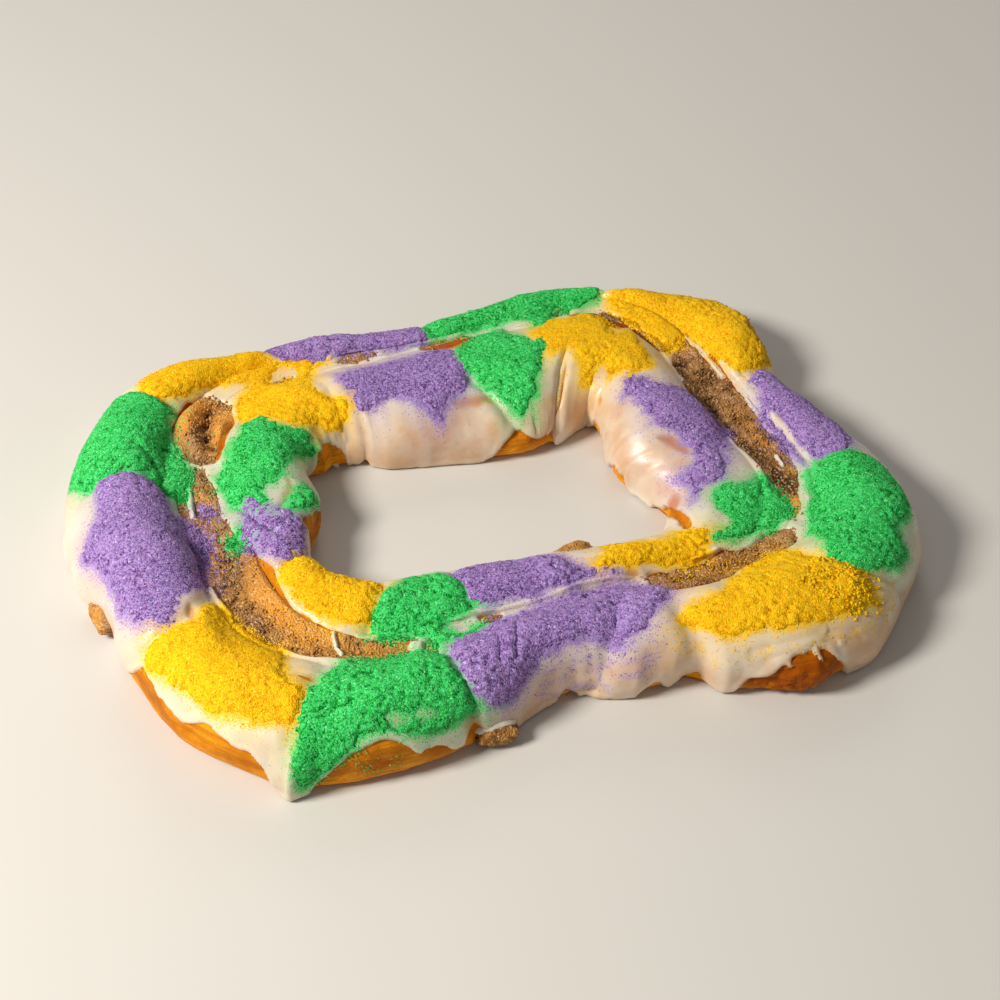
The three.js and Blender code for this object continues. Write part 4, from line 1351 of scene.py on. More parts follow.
def makeFillingMaterial():
    finish = fillingFinish
    material, nodes, links = newMaterial("cinnamonFilling")
    surface = nodes["Principled BSDF"]
    setValues(surface, finish["surface"])
    mottled = addGroup(nodes, links, "mottle", **finish["mottle"])
    grain = addGroup(nodes, links, "grains", Size=finish["grainSize"])
    colour = mixColours(nodes, links, mottled["Mask"], finish["mid"], finish["light"])
    colour = mixColours(nodes, links, measure(nodes, "warm"), colour, finish["warm"])
    dark = between(nodes, links, grain["Chance"], *finish["grainRange"])
    dark = reckon(nodes, links, "MULTIPLY", dark, finish["grainShare"], clamp=True)
    colour = mixColours(nodes, links, dark, colour, finish["mid"])
    # darker where the shade and tone measure is high: painted shade in the filling's low places, grooves
    # and hollows, with each crumb's own random tone
    colour = mixColours(nodes, links, measure(nodes, "hollow"), colour, finish["dark"])
    # painted glints: a few grains take the lighter glint colour as their highlight
    glint = reckon(nodes, links, "GREATER_THAN", grain["Second"], finish["glintAbove"])
    glint = reckon(nodes, links, "MULTIPLY", glint, finish["glintShare"])
    colour = mixColours(nodes, links, glint, colour, finish["glint"])
    dust = addDust(nodes, links, colour, *finish["dust"])
    links.new(dust["Colour"], surface.inputs["Base Color"])
    links.new(between(nodes, links, grain["Tone"], *finish["roughness"]), surface.inputs["Roughness"])
    height = reckon(nodes, links, "ADD", grain["Height"], mottled["Height"])
    addBump(nodes, links, surface, height, *finish["bump"])
    return material


icingFinish = {
    "thick": (0.73, 0.65, 0.54, 1), "thinAndShade": (0.66, 0.42, 0.25, 1), "sheer": (0.56, 0.20, 0.03, 1),
    "roughness": (0.32, 0.50), "bump": (0.25, 0.0014), "thinRange": (0.6, 1.4),
    "mottle": {"Size": 55.0, "FineSize": 300.0, "Contrast": 2.2, "FineShare": 0.25},
    "dust": (1600.0, 0.8), "dustRougher": 0.3, "dustHeight": 0.3,
    "surface": {
        "Subsurface Weight": 0.3, "Subsurface Radius": (1.0, 0.6, 0.35), "Subsurface Scale": 0.004,
        "Coat Weight": 0.12, "Coat Roughness": 0.22,
    },
}


def makeIcingMaterial():
    finish = icingFinish
    material, nodes, links = newMaterial("sugarIcing")
    surface = nodes["Principled BSDF"]
    setValues(surface, finish["surface"])
    mottled = addGroup(nodes, links, "mottle", **finish["mottle"])
    # the warm thin colour is partly icing thin over the crust and partly painted shade on the near flank
    thinAndShade = between(nodes, links, mottled["Mask"], *finish["thinRange"])
    thinAndShade = reckon(nodes, links, "MULTIPLY", measure(nodes, "thinAndShade"), thinAndShade, clamp=True)
    colour = mixColours(nodes, links, thinAndShade, finish["thick"], finish["thinAndShade"])
    colour = mixColours(nodes, links, measure(nodes, "sheer"), colour, finish["sheer"])
    dust = addDust(nodes, links, colour, *finish["dust"])
    links.new(dust["Colour"], surface.inputs["Base Color"])
    rough = between(nodes, links, mottled["Mask"], *finish["roughness"])
    rough = reckon(nodes, links, "MULTIPLY_ADD", dust["Cover"], finish["dustRougher"], rough)
    links.new(rough, surface.inputs["Roughness"])
    height = reckon(nodes, links, "MULTIPLY_ADD", dust["Height"], finish["dustHeight"], mottled["Height"])
    addBump(nodes, links, surface, height, *finish["bump"])
    return material


sugarLook = {
    "grainSize": 1150.0, "darkRange": (-0.15, 0.3), "lightRange": (0.3, 0.85), "glintAbove": 0.982,
    "roughness": (0.4, 0.85), "bump": (0.5, 0.0010),
    "surface": {"Specular IOR Level": 0.10, "Subsurface Weight": 0.25, "Subsurface Scale": 0.0015},
}


def makeSugarMaterial(colour):
    finish, look = sugarFinish[colour], sugarLook
    material, nodes, links = newMaterial(colour + "Sugar")
    surface = nodes["Principled BSDF"]
    setValues(surface, look["surface"])
    grain = addGroup(nodes, links, "grains", Size=look["grainSize"])
    # darker where the shade and tone measure is high: painted shade in cracks and between grains, with each
    # grain's own random tone
    shade = reckon(nodes, links, "SUBTRACT", grain["Tone"], measure(nodes, "hollow"))
    tone = between(nodes, links, shade, 0, 1, *look["darkRange"])
    tone = mixColours(nodes, links, tone, finish["dark"], finish["mid"])
    light = between(nodes, links, shade, 0, 1, *look["lightRange"])
    tone = mixColours(nodes, links, light, tone, finish["light"])
    # painted glints: grains past this chance take the lighter glint colour as their highlight
    glint = reckon(nodes, links, "GREATER_THAN", grain["Third"], look["glintAbove"])
    links.new(mixColours(nodes, links, glint, tone, finish["glint"]), surface.inputs["Base Color"])
    links.new(between(nodes, links, grain["Second"], *look["roughness"]), surface.inputs["Roughness"])
    addBump(nodes, links, surface, grain["Height"], *look["bump"])
    return material


doughMaterial = makeDoughMaterial()
fillingMaterial = makeFillingMaterial()
icingMaterial = makeIcingMaterial()
sugarMaterials = {colour: makeSugarMaterial(colour) for colour in sugarPatches}
print("materials ready")


# The two ropes of dough

doughMesh = {
    "stepsRound": {outer: 800, inner: 660}, "seamSteps": 3, "ropeSteps": {outer: 70, inner: 84},
    "baseSteps": 6, "lipIn": 3.6, "lipDown": 6.5, "lipShares": (1.0, 0.68, 0.34), "lipCurve": 1.6,
    # fibres run round the ring, so their places go slowly round a circle and fast across
    "fibreRound": 9.0, "fibreAcross": 0.75, "fibreWave": [(0.6, 30, 65)],
}

# How brown the crust is
doughBake = {
    "usual": 0.30, "mottling": [(0.32, 17, 61), (0.22, 6, 62)], "lowPaler": 0.25, "low": (26, 4),
    "band": 0.35, "bandUp": (6, 14), "bandDown": (30, 16), "cracked": 0.65, "crackEdge": (-4, 4),
    "besideSeam": (9, 3), "lip": 0.3, "under": 0.35,
}


def bakeOf(s):
    bake, height = doughBake, s.base[..., 2]
    brown = waves(s.base, bake["mottling"], bake["usual"])
    brown = brown - bake["lowPaler"] * smoothStep(*bake["low"], height)
    band = bake["band"] * smoothStep(*bake["bandUp"], height)
    brown = brown + band * smoothStep(*bake["bandDown"], height)
    if s.rope == outer:
        brown = brown + bake["cracked"] * zoneOf(s, [doughShape["cracked"]], bake["crackEdge"])
    # painted shade: the crust darkens beside the seam so that its slivers there read as shadow
    stain = doughShape["stain"] - spotsOf(s, doughShape["lessSeamShade"])
    return brown + stain * smoothStep(*bake["besideSeam"], s.far - s.half)


def makeDough(rope):
    seam = doughMesh["seamSteps"]
    s = makeSheet(rope, doughMesh["stepsRound"][rope], seam, doughMesh["ropeSteps"][rope], bare=True)
    top = s.place[:, seam:]
    direction = rayAt(s.turn[:, 0])[1]
    inward = -rope * np.concatenate([direction, 0 * direction[:, :1]], 1)[:, None]
    lip = []
    for share in doughMesh["lipShares"]:
        drop = np.array([0, 0, doughMesh["lipDown"] * share ** doughMesh["lipCurve"]])
        lip.append(top[:, :1] + inward * doughMesh["lipIn"] * share - drop)
    wall = lip[0] * [1, 1, 0]
    share = np.linspace(0, 1, doughMesh["baseSteps"], endpoint=False)[None, :, None]
    foot = top[:, -1:] * [1, 1, 0]
    base = foot + (wall - foot) * share
    top[:, -1, 2] = 0
    loops = np.concatenate([wall, *lip, top, base[:, 1:]], 1)
    mesh = ringMesh("dough", loops)
    inside = np.full((len(top), 1 + len(lip)), doughBake["lip"])
    under = np.full((len(top), base.shape[1] - 1), doughBake["under"])
    addMeasure(mesh, "bake", np.clip(np.concatenate([inside, bakeOf(s)[:, seam:], under], 1), 0, 1))
    angle = 2 * math.pi * s.turn[:, :1]
    wave = waves(loops, doughMesh["fibreWave"])
    reach = doughMesh["fibreRound"]
    step = np.arange(loops.shape[1]) * doughMesh["fibreAcross"]
    lie = [reach * np.cos(angle) + wave, reach * np.sin(angle) + wave, step + wave]
    layer = mesh.attributes.new("lie", "FLOAT_VECTOR", "POINT")
    layer.data.foreach_set("vector", np.stack(lie, -1).astype(np.float32).ravel())
    name = "dough_outer" if rope == outer else "dough_inner"
    return finishPiece(show(name, mesh, doughMaterial), "dough", ropeNodes[rope])


for rope in (outer, inner):
    makeDough(rope)


# The cinnamon filling in the seam

fillingMesh = {
    "stepsRound": 1300, "steps": 58, "tuck": 3.0, "tuckDrop": 2.0, "underIcing": 1.8,
    "openEdge": (-2.5, 1.5), "base": (0.9, 0.3, -0.3, -0.9), "baseHollow": 0.5,
    "humpShade": 0.55, "hollow": (0.4, -1.8), "warmLess": 0.4, "warm": [(0.40, 22, 71), (0.32, 7, 72)],
}


# How far a place lies open between the icing's edges, from 0 to 1
def openness(s):
    return zoneOf(s, bareWindows, fillingMesh["openEdge"])


def makeFilling():
    settings = fillingMesh
    turn = np.linspace(0, 1, settings["stepsRound"], endpoint=False)
    half = around(seamHalf, turn)[:, None]
    middle = around(seamMiddle, turn)[:, None]
    wide = half + settings["tuck"]
    across = wide * np.linspace(-1, 1, settings["steps"])
    beyond = np.maximum(np.abs(across) - half, 0)
    height = seamTop(turn, across, half) - beyond / settings["tuck"] * settings["tuckDrop"]
    s = SimpleNamespace(turn=turn[:, None] + 0 * across, across=across)
    s.base = placeOnRays(turn, middle + across, height)
    step = np.linalg.norm(np.roll(s.base, -1, 0) - np.roll(s.base, 1, 0), axis=-1)
    s.perTurn = step * settings["stepsRound"] / 2
    relief = fillingRelief(s) - settings["underIcing"] * (1 - openness(s))
    top = s.base + np.array([0, 0, 1]) * relief[..., None]
    none = np.zeros((len(turn), len(settings["base"])))
    base = placeOnRays(turn, middle + wide * np.array([settings["base"]]), none)
    mesh = ringMesh("filling", np.concatenate([top, base], 1))
    bumps = relief - spotsOf(s, fillingShape["humps"]) * settings["humpShade"]
    warm = np.clip(waves(s.base, settings["warm"], spotsOf(s, fillingShape["warm"])), 0, 1)
    # painted shade: darker where the relief is low and in the darker places listed in fillingShape, less
    # where the colour is warm
    hollow = smoothStep(*settings["hollow"], bumps) * (1 - settings["warmLess"] * warm)
    hollow = np.clip(hollow + spotsOf(s, fillingShape["dark"]), 0, 1)
    addMeasure(mesh, "hollow", np.concatenate([hollow, none + settings["baseHollow"]], 1))
    addMeasure(mesh, "warm", np.concatenate([warm, none], 1))
    addDustMeasures(mesh, s, none)
    return finishPiece(show("filling_ribbon", mesh, fillingMaterial), "filling", "filling")


makeFilling()


# Lumps of filling that were squeezed out of the sides

lumpShape = {
    "rings": 56, "segments": 84, "rough": 0.20, "roughSize": 11, "crumb": 0.15, "crumbSize": 4.2,
    "fine": 0.07, "fineSize": 1.9, "clumpMiddle": 0.45,
    "layer": 0.07, "layerSize": 3.4, "layerMiddle": 0.6, "layerTilt": [0.35, 0.25, 0.9],
    "layerWave": [(2.2, 10, 86)],
    "hollow": 0.5, "warmLess": 0.5, "deepens": 2.4, "poleHollow": 0.4,
    "warmVary": [(0.6, 7, 85)], "poleWarm": 0.3,
    "icing": 1.5, "icingSink": 2.5, "icingFall": 2, "icingSmooth": 0.7, "icingLeast": 0.5,
    "icingThin": 0.15, "icingWander": [(0.12, 7, 87), (0.10, 3, 88)],
    # node, push, growth, where icing covers it (the way it faces and how much of the lump, none below 0),
    # and how warm its colour is
    "lumps": [
        ("filling_lump_left", (3.0, -1.0, 0), (1.10, 1.10, 1.0), (0.75, 0.45, 0.5), 0.35, 0.4),
        ("filling_lump_near", (-5.0, 1.6, 0.5), (1.15, 1.15, 1.2), (0.0, 0.72, 0.70), 0.10, 0.25),
        ("filling_lump_hole", (1.5, -5.5, 0), (1.02, 1.0, 0.95), (0, 0, 1), -1, 0.6),
        ("filling_lump_far", (3.0, -5.0, -3.5), (1.0, 1.0, 0.95), (0, -0.8, 0.6), 0.2, 0.6),
    ],
}


# A closed ball from rings of points between its two poles
def ballMesh(name, place):
    rings, segments = place.shape[:2]
    i, j = np.meshgrid(np.arange(rings - 1) * segments, np.arange(segments), indexing="ij")
    nextJ = (j + 1) % segments
    quads = np.stack([i + j, i + segments + j, i + segments + nextJ, i + nextJ], -1).reshape(-1, 4)
    poles = np.stack([place[0].mean(0), place[-1].mean(0)])
    points = np.concatenate([place.reshape(-1, 3), poles])
    last = (rings - 1) * segments
    k = np.arange(segments)
    n = (k + 1) % segments
    top = np.stack([np.full(segments, len(points) - 2), k, n], -1)
    bottom = np.stack([np.full(segments, len(points) - 1), last + n, last + k], -1)
    triangles = np.concatenate([quads[:, [0, 1, 2]], quads[:, [0, 2, 3]], top, bottom])
    if signedVolume(points, triangles) < 0:
        triangles = triangles[:, ::-1]
    return meshFrom(name, points, triangles)


def makeLump(node, push, growth, iced, least, warmth):
    shape = lumpShape
    low, high = (np.array(corner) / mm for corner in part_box(node))
    middle = (low + high) / 2 + push
    size = (high - low) / 2 * growth
    tilt = np.linspace(0, math.pi, shape["rings"] + 2)[1:-1, None]
    spin = np.linspace(0, 2 * math.pi, shape["segments"], endpoint=False)[None]
    way = [np.sin(tilt) * np.cos(spin), np.sin(tilt) * np.sin(spin), np.cos(tilt) + 0 * spin]
    way = np.stack(way, -1)
    p = middle + way * size
    layers = waves(p, shape["layerWave"], p @ shape["layerTilt"]) / shape["layerSize"]
    swell = fractal(p, shape["roughSize"], 81, 2)
    rough = swell * shape["rough"]
    for part, seed in (("crumb", 83), ("fine", 84)):
        rough = rough + (clumps(p, shape[part + "Size"], seed) - shape["clumpMiddle"]) * shape[part]
    rough = rough + shape["layer"] * (np.abs(np.sin(math.pi * layers)) - shape["layerMiddle"])
    place = middle + way * size * (1 + rough)[..., None]
    place[..., 2] = np.maximum(place[..., 2], 0)
    mesh = ballMesh(node, place)
    # painted shade: darker where the lump's surface dips, less where its colour is warm
    hollow = np.clip(shape["hollow"] - shape["warmLess"] * warmth - shape["deepens"] * rough, 0, 1)
    warm = np.clip(waves(p, shape["warmVary"], warmth), 0, 1)
    addMeasure(mesh, "hollow", np.append(hollow.ravel(), [shape["poleHollow"]] * 2))
    addMeasure(mesh, "warm", np.append(warm.ravel(), [shape["poleWarm"]] * 2))
    name = node.replace("filling_lump", "squeezed_filling")
    finishPiece(show(name, mesh, fillingMaterial), "filling", node)
    if least < 0:
        return
    # the icing over it, which sinks into the lump where it ends
    facing = waves(p, shape["icingWander"], way @ (np.array(iced) / np.linalg.norm(iced)))
    inside = (facing - least) * size.mean() / shape["icing"]
    depth = np.where(
        inside > 0,
        shape["icing"] * np.sqrt(1 - (1 - np.clip(inside, 0, 1)) ** 2),
        np.maximum(-shape["icingSink"], shape["icingFall"] * inside),
    )
    smooth = 1 + shape["icingSmooth"] * swell * shape["rough"]
    place = middle + way * (size * smooth[..., None] + depth[..., None])
    place[..., 2] = np.maximum(place[..., 2], shape["icingLeast"])
    mesh = ballMesh(node + "_icing", place)
    addMeasure(mesh, "thinAndShade", np.full(len(mesh.vertices), shape["icingThin"]))
    finishPiece(show(name.replace("squeezed_filling", "icing_over_filling"), mesh, icingMaterial), "icing")


for row in lumpShape["lumps"]:
    makeLump(*row)
print("lumps ready")


# Icing over both ropes

# Where it's so thin that the crust warms its colour, and on the near flank and the right-near corner, where
# the same warmer, darker colour is painted shade
icingThinAndShade = {
    "least": 0.05, "zone": 0.75, "zoneEdge": (-8, 8), "shallow": 0.5, "shallowRange": (1.7, 0.4),
    "patchy": 0.7, "patches": [(0.6, 16, 91), (0.25, 6, 93)], "vary": [(0.12, 9, 92)],
    # the first two zones, on the near flank and the right-near corner, paint shade with the warmer, darker
    # colour; the last two are icing thin over the crust
    "thinAndShadedZones": [
        [(0.935, 74), (0.955, 56), (0.985, 48), (1.010, 54), (1.030, 54), (1.050, 54), (1.062, 74),
         (1.070, 104), (1.030, 114), (1.000, 100), (0.960, 100), (0.940, 104)],
        [(0.072, 88), (0.110, 92), (0.130, 92), (0.150, 88), (0.200, 84), (0.190, 114), (0.140, 124),
         (0.110, 124), (0.080, 104)],
        [(0.340, -62), (0.400, -70), (0.450, -66), (0.500, -70), (0.550, -62), (0.575, -64), (0.582, -92),
         (0.500, -114), (0.420, -112), (0.350, -110)],
        [(0.160, -56), (0.200, -60), (0.250, -62), (0.300, -66), (0.335, -80), (0.330, -110), (0.250, -108),
         (0.190, -106), (0.165, -92)],
    ],
}


def thinnessAndShadeOf(s, depth):
    shape = icingThinAndShade
    patchy = waves(s.base, shape["patches"], shape["patchy"])
    thinAndShade = shape["least"] + shape["zone"] * zoneOf(s, shape["thinAndShadedZones"], shape["zoneEdge"]) * patchy
    thinAndShade = thinAndShade + shape["shallow"] * smoothStep(*shape["shallowRange"], depth)
    return np.clip(waves(s.base, shape["vary"], thinAndShade), 0, 1)


def makeIcing(rope):
    seamSteps, ropeSteps = icingShape["stepsAcross"][rope]
    s = makeSheet(rope, icingShape["stepsRound"][rope], seamSteps, ropeSteps)
    depth = icingDepth(s)
    top = s.place + s.out * depth[..., None]
    picks = np.linspace(seamSteps, s.turn.shape[1] - 1, icingShape["underSteps"]).round().astype(int)
    picks = np.concatenate([icingShape["seamUnderSteps"], picks])
    under = s.place[:, picks] - s.out[:, picks] * icingShape["underDepth"]
    top[..., 2] = np.maximum(top[..., 2], 0)
    under[..., 2] = np.maximum(under[..., 2], icingShape["underLeast"])
    mesh = ringMesh("icing", np.concatenate([top, under[:, ::-1]], 1))
    none = np.zeros((len(top), len(picks)))
    addMeasure(mesh, "thinAndShade", np.concatenate([thinnessAndShadeOf(s, depth), none], 1))
    addMeasure(mesh, "sheer", np.concatenate([sheernessOf(s), none], 1))
    addDustMeasures(mesh, s, none)
    name = "icing_outer" if rope == outer else "icing_inner"
    return finishPiece(show(name, mesh, icingMaterial), "icing")


for rope in (outer, inner):
    makeIcing(rope)


# Beds of sugar, with loose grains strewn on and round them

sugarSheets = {}  # for each rope, with the icing's surface and every colour's covers, heights and cracks
for rope in (outer, inner):
    seamSteps, ropeSteps = sugarBed["stepsAcross"][rope]
    s = makeSheet(rope, sugarBed["stepsRound"][rope], seamSteps, ropeSteps)
    s.own = s.far > -seamShape["grainOverlap"]  # where grains count as this rope's
    s.depth = icingDepth(s)
    s.top = s.place + s.out * np.maximum(s.depth, 0)[..., None]
    s.covers = {colour: sugarCover(s, colour) for colour in sugarPatches}
    made = {colour: sugarHeight(s, colour) for colour in sugarPatches}
    s.heights = {colour: pair[0] for colour, pair in made.items()}
    s.cracks = {colour: pair[1] for colour, pair in made.items()}
    sugarSheets[rope] = s
print("sugar measured")


def makeBed(colour):
    parts = []
    for rope, s in sugarSheets.items():
        height = s.heights[colour] - diveOf(s)
        top = s.top + s.out * height[..., None]
        bottom = s.top + s.out * (np.minimum(height, 0) - sugarBed["under"])[..., None]
        top[..., 2] = np.maximum(top[..., 2], sugarBed["least"])
        bottom[..., 2] = np.maximum(bottom[..., 2], 0)
        shown = s.covers[colour][0] > sugarBed["shownFrom"]
        chosen = shown & np.roll(shown, -1, 0)
        chosen[:, :-1] &= chosen[:, 1:]
        chosen[:, -1] = False
        points, faces, used = shellPoints(top, bottom, chosen)
        # painted shade on the bed: a base darkness for the shade between grains, more in its cracks, less
        # where it stands higher
        hollow = sugarBed["shade"] + s.cracks[colour] - sugarBed["heightShade"] * s.heights[colour]
        hollow = np.clip(hollow, 0, sugarBed["shadeMost"]).ravel()[used]
        if rope == inner:
            faces = faces[:, ::-1]
        parts.append((points, faces, np.concatenate([hollow, hollow])))
    points, faces, hollow = joined(parts)
    mesh = meshFrom("bed", points, faces)
    addMeasure(mesh, "hollow", hollow)
    return finishPiece(show("sugar_bed_" + colour, mesh, sugarMaterials[colour]), "sugar_" + colour)


for colour in sugarPatches:
    makeBed(colour)


# A grain is a small cone: its length and the place of its middle, in radii, and how much its shade varies
grainShape = {"length": 1.45, "middle": -0.5, "shade": 0.3}


# A tree that strews small grains over a surface, as densely as one of its attributes says
def makeStrewTree():
    tree = bpy.data.node_groups.new("strewGrains", "GeometryNodeTree")
    face = tree.interface
    face.new_socket("Geometry", in_out="INPUT", socket_type="NodeSocketGeometry")
    for label, kind, value in (
        ("Cover attribute", "NodeSocketString", "cover"),
        ("Grains per square metre", "NodeSocketFloat", 1e6),
        ("Grain radius", "NodeSocketFloat", 0.0006),
        ("Smallest", "NodeSocketFloat", 0.6),
        ("Largest", "NodeSocketFloat", 1.3),
        ("Lift", "NodeSocketFloat", 0.0003),
        ("Sides", "NodeSocketInt", 3),
        ("Seed", "NodeSocketInt", 1),
        ("Material", "NodeSocketMaterial", None),
    ):
        socket = face.new_socket(label, in_out="INPUT", socket_type=kind)
        if value is not None:
            socket.default_value = value
    face.new_socket("Geometry", in_out="OUTPUT", socket_type="NodeSocketGeometry")
    nodes, links = tree.nodes, tree.links
    given, made = nodes.new("NodeGroupInput"), nodes.new("NodeGroupOutput")

    def randomBetween(low, high, seedStep, kind="FLOAT"):
        node = nodes.new("FunctionNodeRandomValue")
        node.data_type = kind
        first, result = (0, 0) if kind == "FLOAT_VECTOR" else (2, 1)
        feed(links, node.inputs[first], low)
        feed(links, node.inputs[first + 1], high)
        links.new(reckon(nodes, links, "ADD", given.outputs["Seed"], seedStep), node.inputs["Seed"])
        return node.outputs[result]

    cover = nodes.new("GeometryNodeInputNamedAttribute")
    cover.data_type = "FLOAT"
    links.new(given.outputs["Cover attribute"], cover.inputs["Name"])
    most = given.outputs["Grains per square metre"]
    density = reckon(nodes, links, "MULTIPLY", cover.outputs["Attribute"], most)
    strew = nodes.new("GeometryNodeDistributePointsOnFaces")
    links.new(given.outputs["Geometry"], strew.inputs["Mesh"])
    links.new(density, strew.inputs["Density"])
    links.new(given.outputs["Seed"], strew.inputs["Seed"])

    lift = nodes.new("ShaderNodeVectorMath")
    lift.operation = "SCALE"
    links.new(strew.outputs["Normal"], lift.inputs[0])
    height = reckon(nodes, links, "MULTIPLY", randomBetween(0.0, 1.0, 3), given.outputs["Lift"])
    links.new(height, lift.inputs["Scale"])
    lifted = nodes.new("GeometryNodeSetPosition")
    links.new(strew.outputs["Points"], lifted.inputs["Geometry"])
    links.new(lift.outputs[0], lifted.inputs["Offset"])

    radius = given.outputs["Grain radius"]
    grain = nodes.new("GeometryNodeMeshCone")
    links.new(given.outputs["Sides"], grain.inputs["Vertices"])
    links.new(radius, grain.inputs["Radius Bottom"])
    grain.inputs["Radius Top"].default_value = 0.0
    links.new(reckon(nodes, links, "MULTIPLY", radius, grainShape["length"]), grain.inputs["Depth"])
    centre = nodes.new("GeometryNodeTransform")
    links.new(grain.outputs["Mesh"], centre.inputs["Geometry"])
    down = nodes.new("ShaderNodeCombineXYZ")
    links.new(reckon(nodes, links, "MULTIPLY", radius, grainShape["middle"]), down.inputs["Z"])
    links.new(down.outputs[0], centre.inputs["Translation"])

    turn = nodes.new("FunctionNodeEulerToRotation")
    fullTurn = (6.283, 6.283, 6.283)
    links.new(randomBetween((0, 0, 0), fullTurn, 5, "FLOAT_VECTOR"), turn.inputs[0])
    put = nodes.new("GeometryNodeInstanceOnPoints")
    links.new(lifted.outputs["Geometry"], put.inputs["Points"])
    links.new(centre.outputs["Geometry"], put.inputs["Instance"])
    links.new(turn.outputs[0], put.inputs["Rotation"])
    links.new(randomBetween(given.outputs["Smallest"], given.outputs["Largest"], 7), put.inputs["Scale"])

    # each grain's shade and tone: a random tone plus the painted crack shade of the surface under it
    lying = nodes.new("GeometryNodeInputNamedAttribute")
    lying.data_type = "FLOAT"
    lying.inputs["Name"].default_value = "hollow"
    shade = nodes.new("GeometryNodeStoreNamedAttribute")
    shade.data_type, shade.domain = "FLOAT", "INSTANCE"
    shade.inputs["Name"].default_value = "hollow"
    links.new(put.outputs["Instances"], shade.inputs["Geometry"])
    varied = randomBetween(-grainShape["shade"], grainShape["shade"], 9)
    links.new(reckon(nodes, links, "ADD", varied, lying.outputs["Attribute"]), shade.inputs["Value"])
    real = nodes.new("GeometryNodeRealizeInstances")
    links.new(shade.outputs["Geometry"], real.inputs["Geometry"])
    finish = nodes.new("GeometryNodeSetMaterial")
    links.new(real.outputs["Geometry"], finish.inputs["Geometry"])
    links.new(given.outputs["Material"], finish.inputs["Material"])
    links.new(finish.outputs["Geometry"], made.inputs["Geometry"])
    return tree


strewTree = makeStrewTree()


# Strews grains over a carrier mesh and gives them as one plain mesh
def strewn(name, carrier, material, settings):
    holder = show(name + "_carrier", carrier, None)
    modifier = holder.modifiers.new("strew", "NODES")
    modifier.node_group = strewTree
    sockets = [item for item in strewTree.interface.items_tree if item.in_out == "INPUT"]
    keys = {item.name: item.identifier for item in sockets}
    for label, value in settings.items():
        modifier[keys[label]] = value
    modifier[keys["Material"]] = material
    graph = bpy.context.evaluated_depsgraph_get()
    grown = holder.evaluated_get(graph)
    mesh = bpy.data.meshes.new_from_object(grown, preserve_all_data_layers=True, depsgraph=graph)
    bpy.data.objects.remove(holder)
    bpy.data.meshes.remove(carrier)
    mesh.name = name
    mesh.polygons.foreach_set("use_smooth", np.ones(len(mesh.polygons), bool))
    return show(name, mesh, material)


def gridFaces(turns, steps, rope):
    i, j = np.meshgrid(np.arange(turns), np.arange(steps - 1), indexing="ij")
    a, b = i * steps + j, (i + 1) % turns * steps + j
    faces = np.stack([a, b, b + 1, a + 1], -1).reshape(-1, 4)
    return faces if rope == outer else faces[:, ::-1]


# The surface that grains lie on, with more measures that they take on, and how much of it they cover
def carrierMesh(name, covers, lifts, more):
    parts = []
    for rope, s in sugarSheets.items():
        faces = gridFaces(*s.turn.shape, rope)
        cover = covers[rope].ravel()
        place = (s.top + s.out * lifts[rope][..., None]).reshape(-1, 3)
        faces = faces[cover[faces].max(1) > 0]
        used, faces = np.unique(faces, return_inverse=True)
        measures = [cover] + [values[rope].ravel() for values in more.values()]
        parts.append((place[used], faces.reshape(-1, 4), np.stack(measures, 1)[used]))
    points, faces, measures = joined(parts)
    mesh = meshFrom(name, points, faces)
    for label, values in zip(("cover", *more), measures.T):
        addMeasure(mesh, label, values)
    a, b, c, d = (points[faces[:, k]] for k in range(4))
    area = 0.5 * np.linalg.norm(np.cross(c - a, d - b), axis=1)
    return mesh, (area * measures[:, 0][faces].mean(1)).sum() * mm**2


def strewOn(name, slot, material, covers, lifts, settings, more):
    carrier, weight = carrierMesh("carrier", covers, lifts, more)
    density = min(settings["densest"], settings["most"] / weight)
    print(name, "cover", round(weight / mm**2), "square millimetres,", round(density * mm**2, 2), "on each")
    piece = strewn(name, carrier, material, {
        "Cover attribute": "cover", "Grains per square metre": density, "Grain radius": settings["radius"],
        "Smallest": settings["smallest"], "Largest": settings["largest"], "Lift": settings["lift"],
        "Sides": settings["sides"], "Seed": settings["seed"],
    })
    return finishPiece(piece, slot)


grains = {
    "most": 47500, "densest": 1.9e6, "radius": 0.00056, "smallest": 0.55, "largest": 1.35, "lift": 0.00035,
    "sides": 3, "sunk": 0.1, "overBare": 0.9, "bareBelow": -1,
}


def makeGrains(colour):
    covers, lifts, cracks = {}, {}, {}
    for rope, s in sugarSheets.items():
        covers[rope] = s.covers[colour][1] * s.own
        lifts[rope] = np.maximum(s.heights[colour], 0) - grains["sunk"]
        lifts[rope] = lifts[rope] + grains["overBare"] * (s.depth < grains["bareBelow"])
        # grains take the painted shade of the cracks they lie in
        cracks[rope] = s.cracks[colour]
    settings = {**grains, "seed": seeds[colour]}
    name, slot = "sugar_grains_" + colour, "sugar_" + colour
    return strewOn(name, slot, sugarMaterials[colour], covers, lifts, settings, {"hollow": cracks})


for colour in sugarPatches:
    makeGrains(colour)


# Crumbs of filling along the seam and on its lips

crumbs = {
    "most": 4200, "densest": math.inf, "radius": 0.0010, "smallest": 0.4, "largest": 1.4, "lift": 0.0010,
    "sides": 5, "seed": 401, "raised": 0.2, "lipWidth": 5.0,
    "patchy": [(1, 7, 95)], "patchEdge": (-0.5, 0.5), "patchLeast": 0.15, "warmLess": 0.93,
    "hollow": -0.1, "hollowVary": [(0.2, 9, 96)], "strandEdge": 2, "sugared": (0.15, 0.5),
}


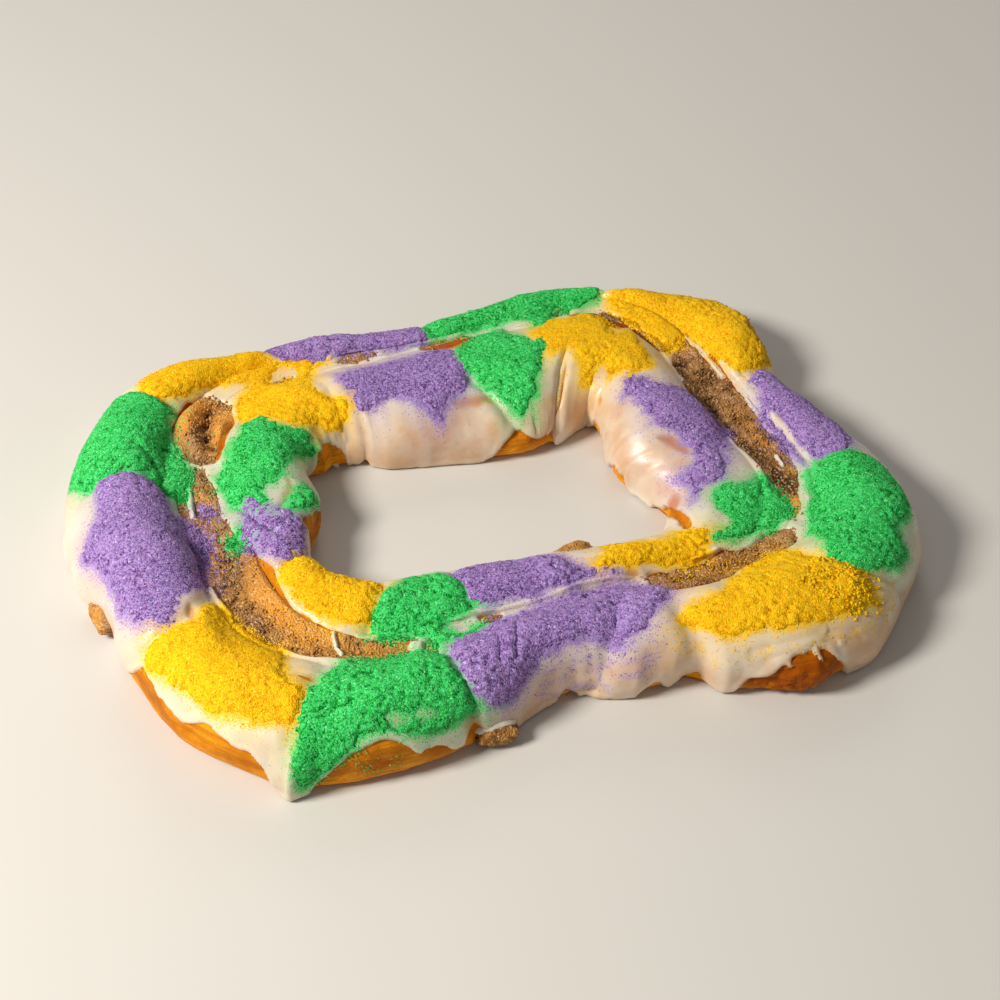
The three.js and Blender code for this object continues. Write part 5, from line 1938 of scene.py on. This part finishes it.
def makeCrumbs():
    covers, lifts, warmth, shades = {}, {}, {}, {}
    for rope, s in sugarSheets.items():
        strip = smoothStep(crumbs["lipWidth"], 0, s.far - s.half) * s.own
        patchy = smoothStep(*crumbs["patchEdge"], waves(s.base, crumbs["patchy"]))
        warmth[rope] = np.clip(spotsOf(s, fillingShape["warm"]), 0, 1)
        shades[rope] = waves(s.base, crumbs["hollowVary"], crumbs["hollow"])
        clear = np.ones(s.turn.shape)
        for width, _, line in icingStrands:
            beside = smoothStep(width, width + crumbs["strandEdge"], distanceTo(s, line))
            clear = np.minimum(clear, beside)
        sugared = np.max([s.covers[colour][2] for colour in sugarPatches], 0)
        bare = openness(s) * strip * clear * (1 - smoothStep(*crumbs["sugared"], sugared))
        patchy = crumbs["patchLeast"] + (1 - crumbs["patchLeast"]) * patchy
        covers[rope] = bare * patchy * (1 - crumbs["warmLess"] * warmth[rope])
        lifts[rope] = crumbs["raised"] + 0 * s.far
    more = {"warm": warmth, "hollow": shades}
    strewOn("filling_crumbs", "filling", fillingMaterial, covers, lifts, crumbs, more)


# Lumps of gold sugar where it caked

cakedSugar = {
    "most": 900, "densest": math.inf, "radius": 0.0013, "smallest": 0.5, "largest": 1.3, "lift": 0.0006,
    "sides": 5, "seed": 503, "sunk": 0.1, "patchy": [(1, 6, 97)], "patchEdge": (-0.4, 0.5),
    "placeEdge": (-3, 3),
    "places": [
        [(0.112, 44), (0.124, 40), (0.134, 44), (0.137, 62), (0.134, 78), (0.124, 88), (0.114, 84),
         (0.112, 62)],
        [(0.278, 46), (0.290, 52), (0.304, 58), (0.302, 70), (0.286, 66), (0.275, 56)],
    ],
}


def makeCakedSugar():
    covers, lifts = {}, {}
    for rope, s in sugarSheets.items():
        where = zoneOf(s, cakedSugar["places"], cakedSugar["placeEdge"])
        patchy = smoothStep(*cakedSugar["patchEdge"], waves(s.base, cakedSugar["patchy"]))
        covers[rope] = where * patchy * s.own
        lifts[rope] = np.maximum(s.heights["gold"], 0) - cakedSugar["sunk"]
    strewOn("sugar_lumps_gold", "sugar_gold", sugarMaterials["gold"], covers, lifts, cakedSugar, {})


makeCrumbs()
makeCakedSugar()
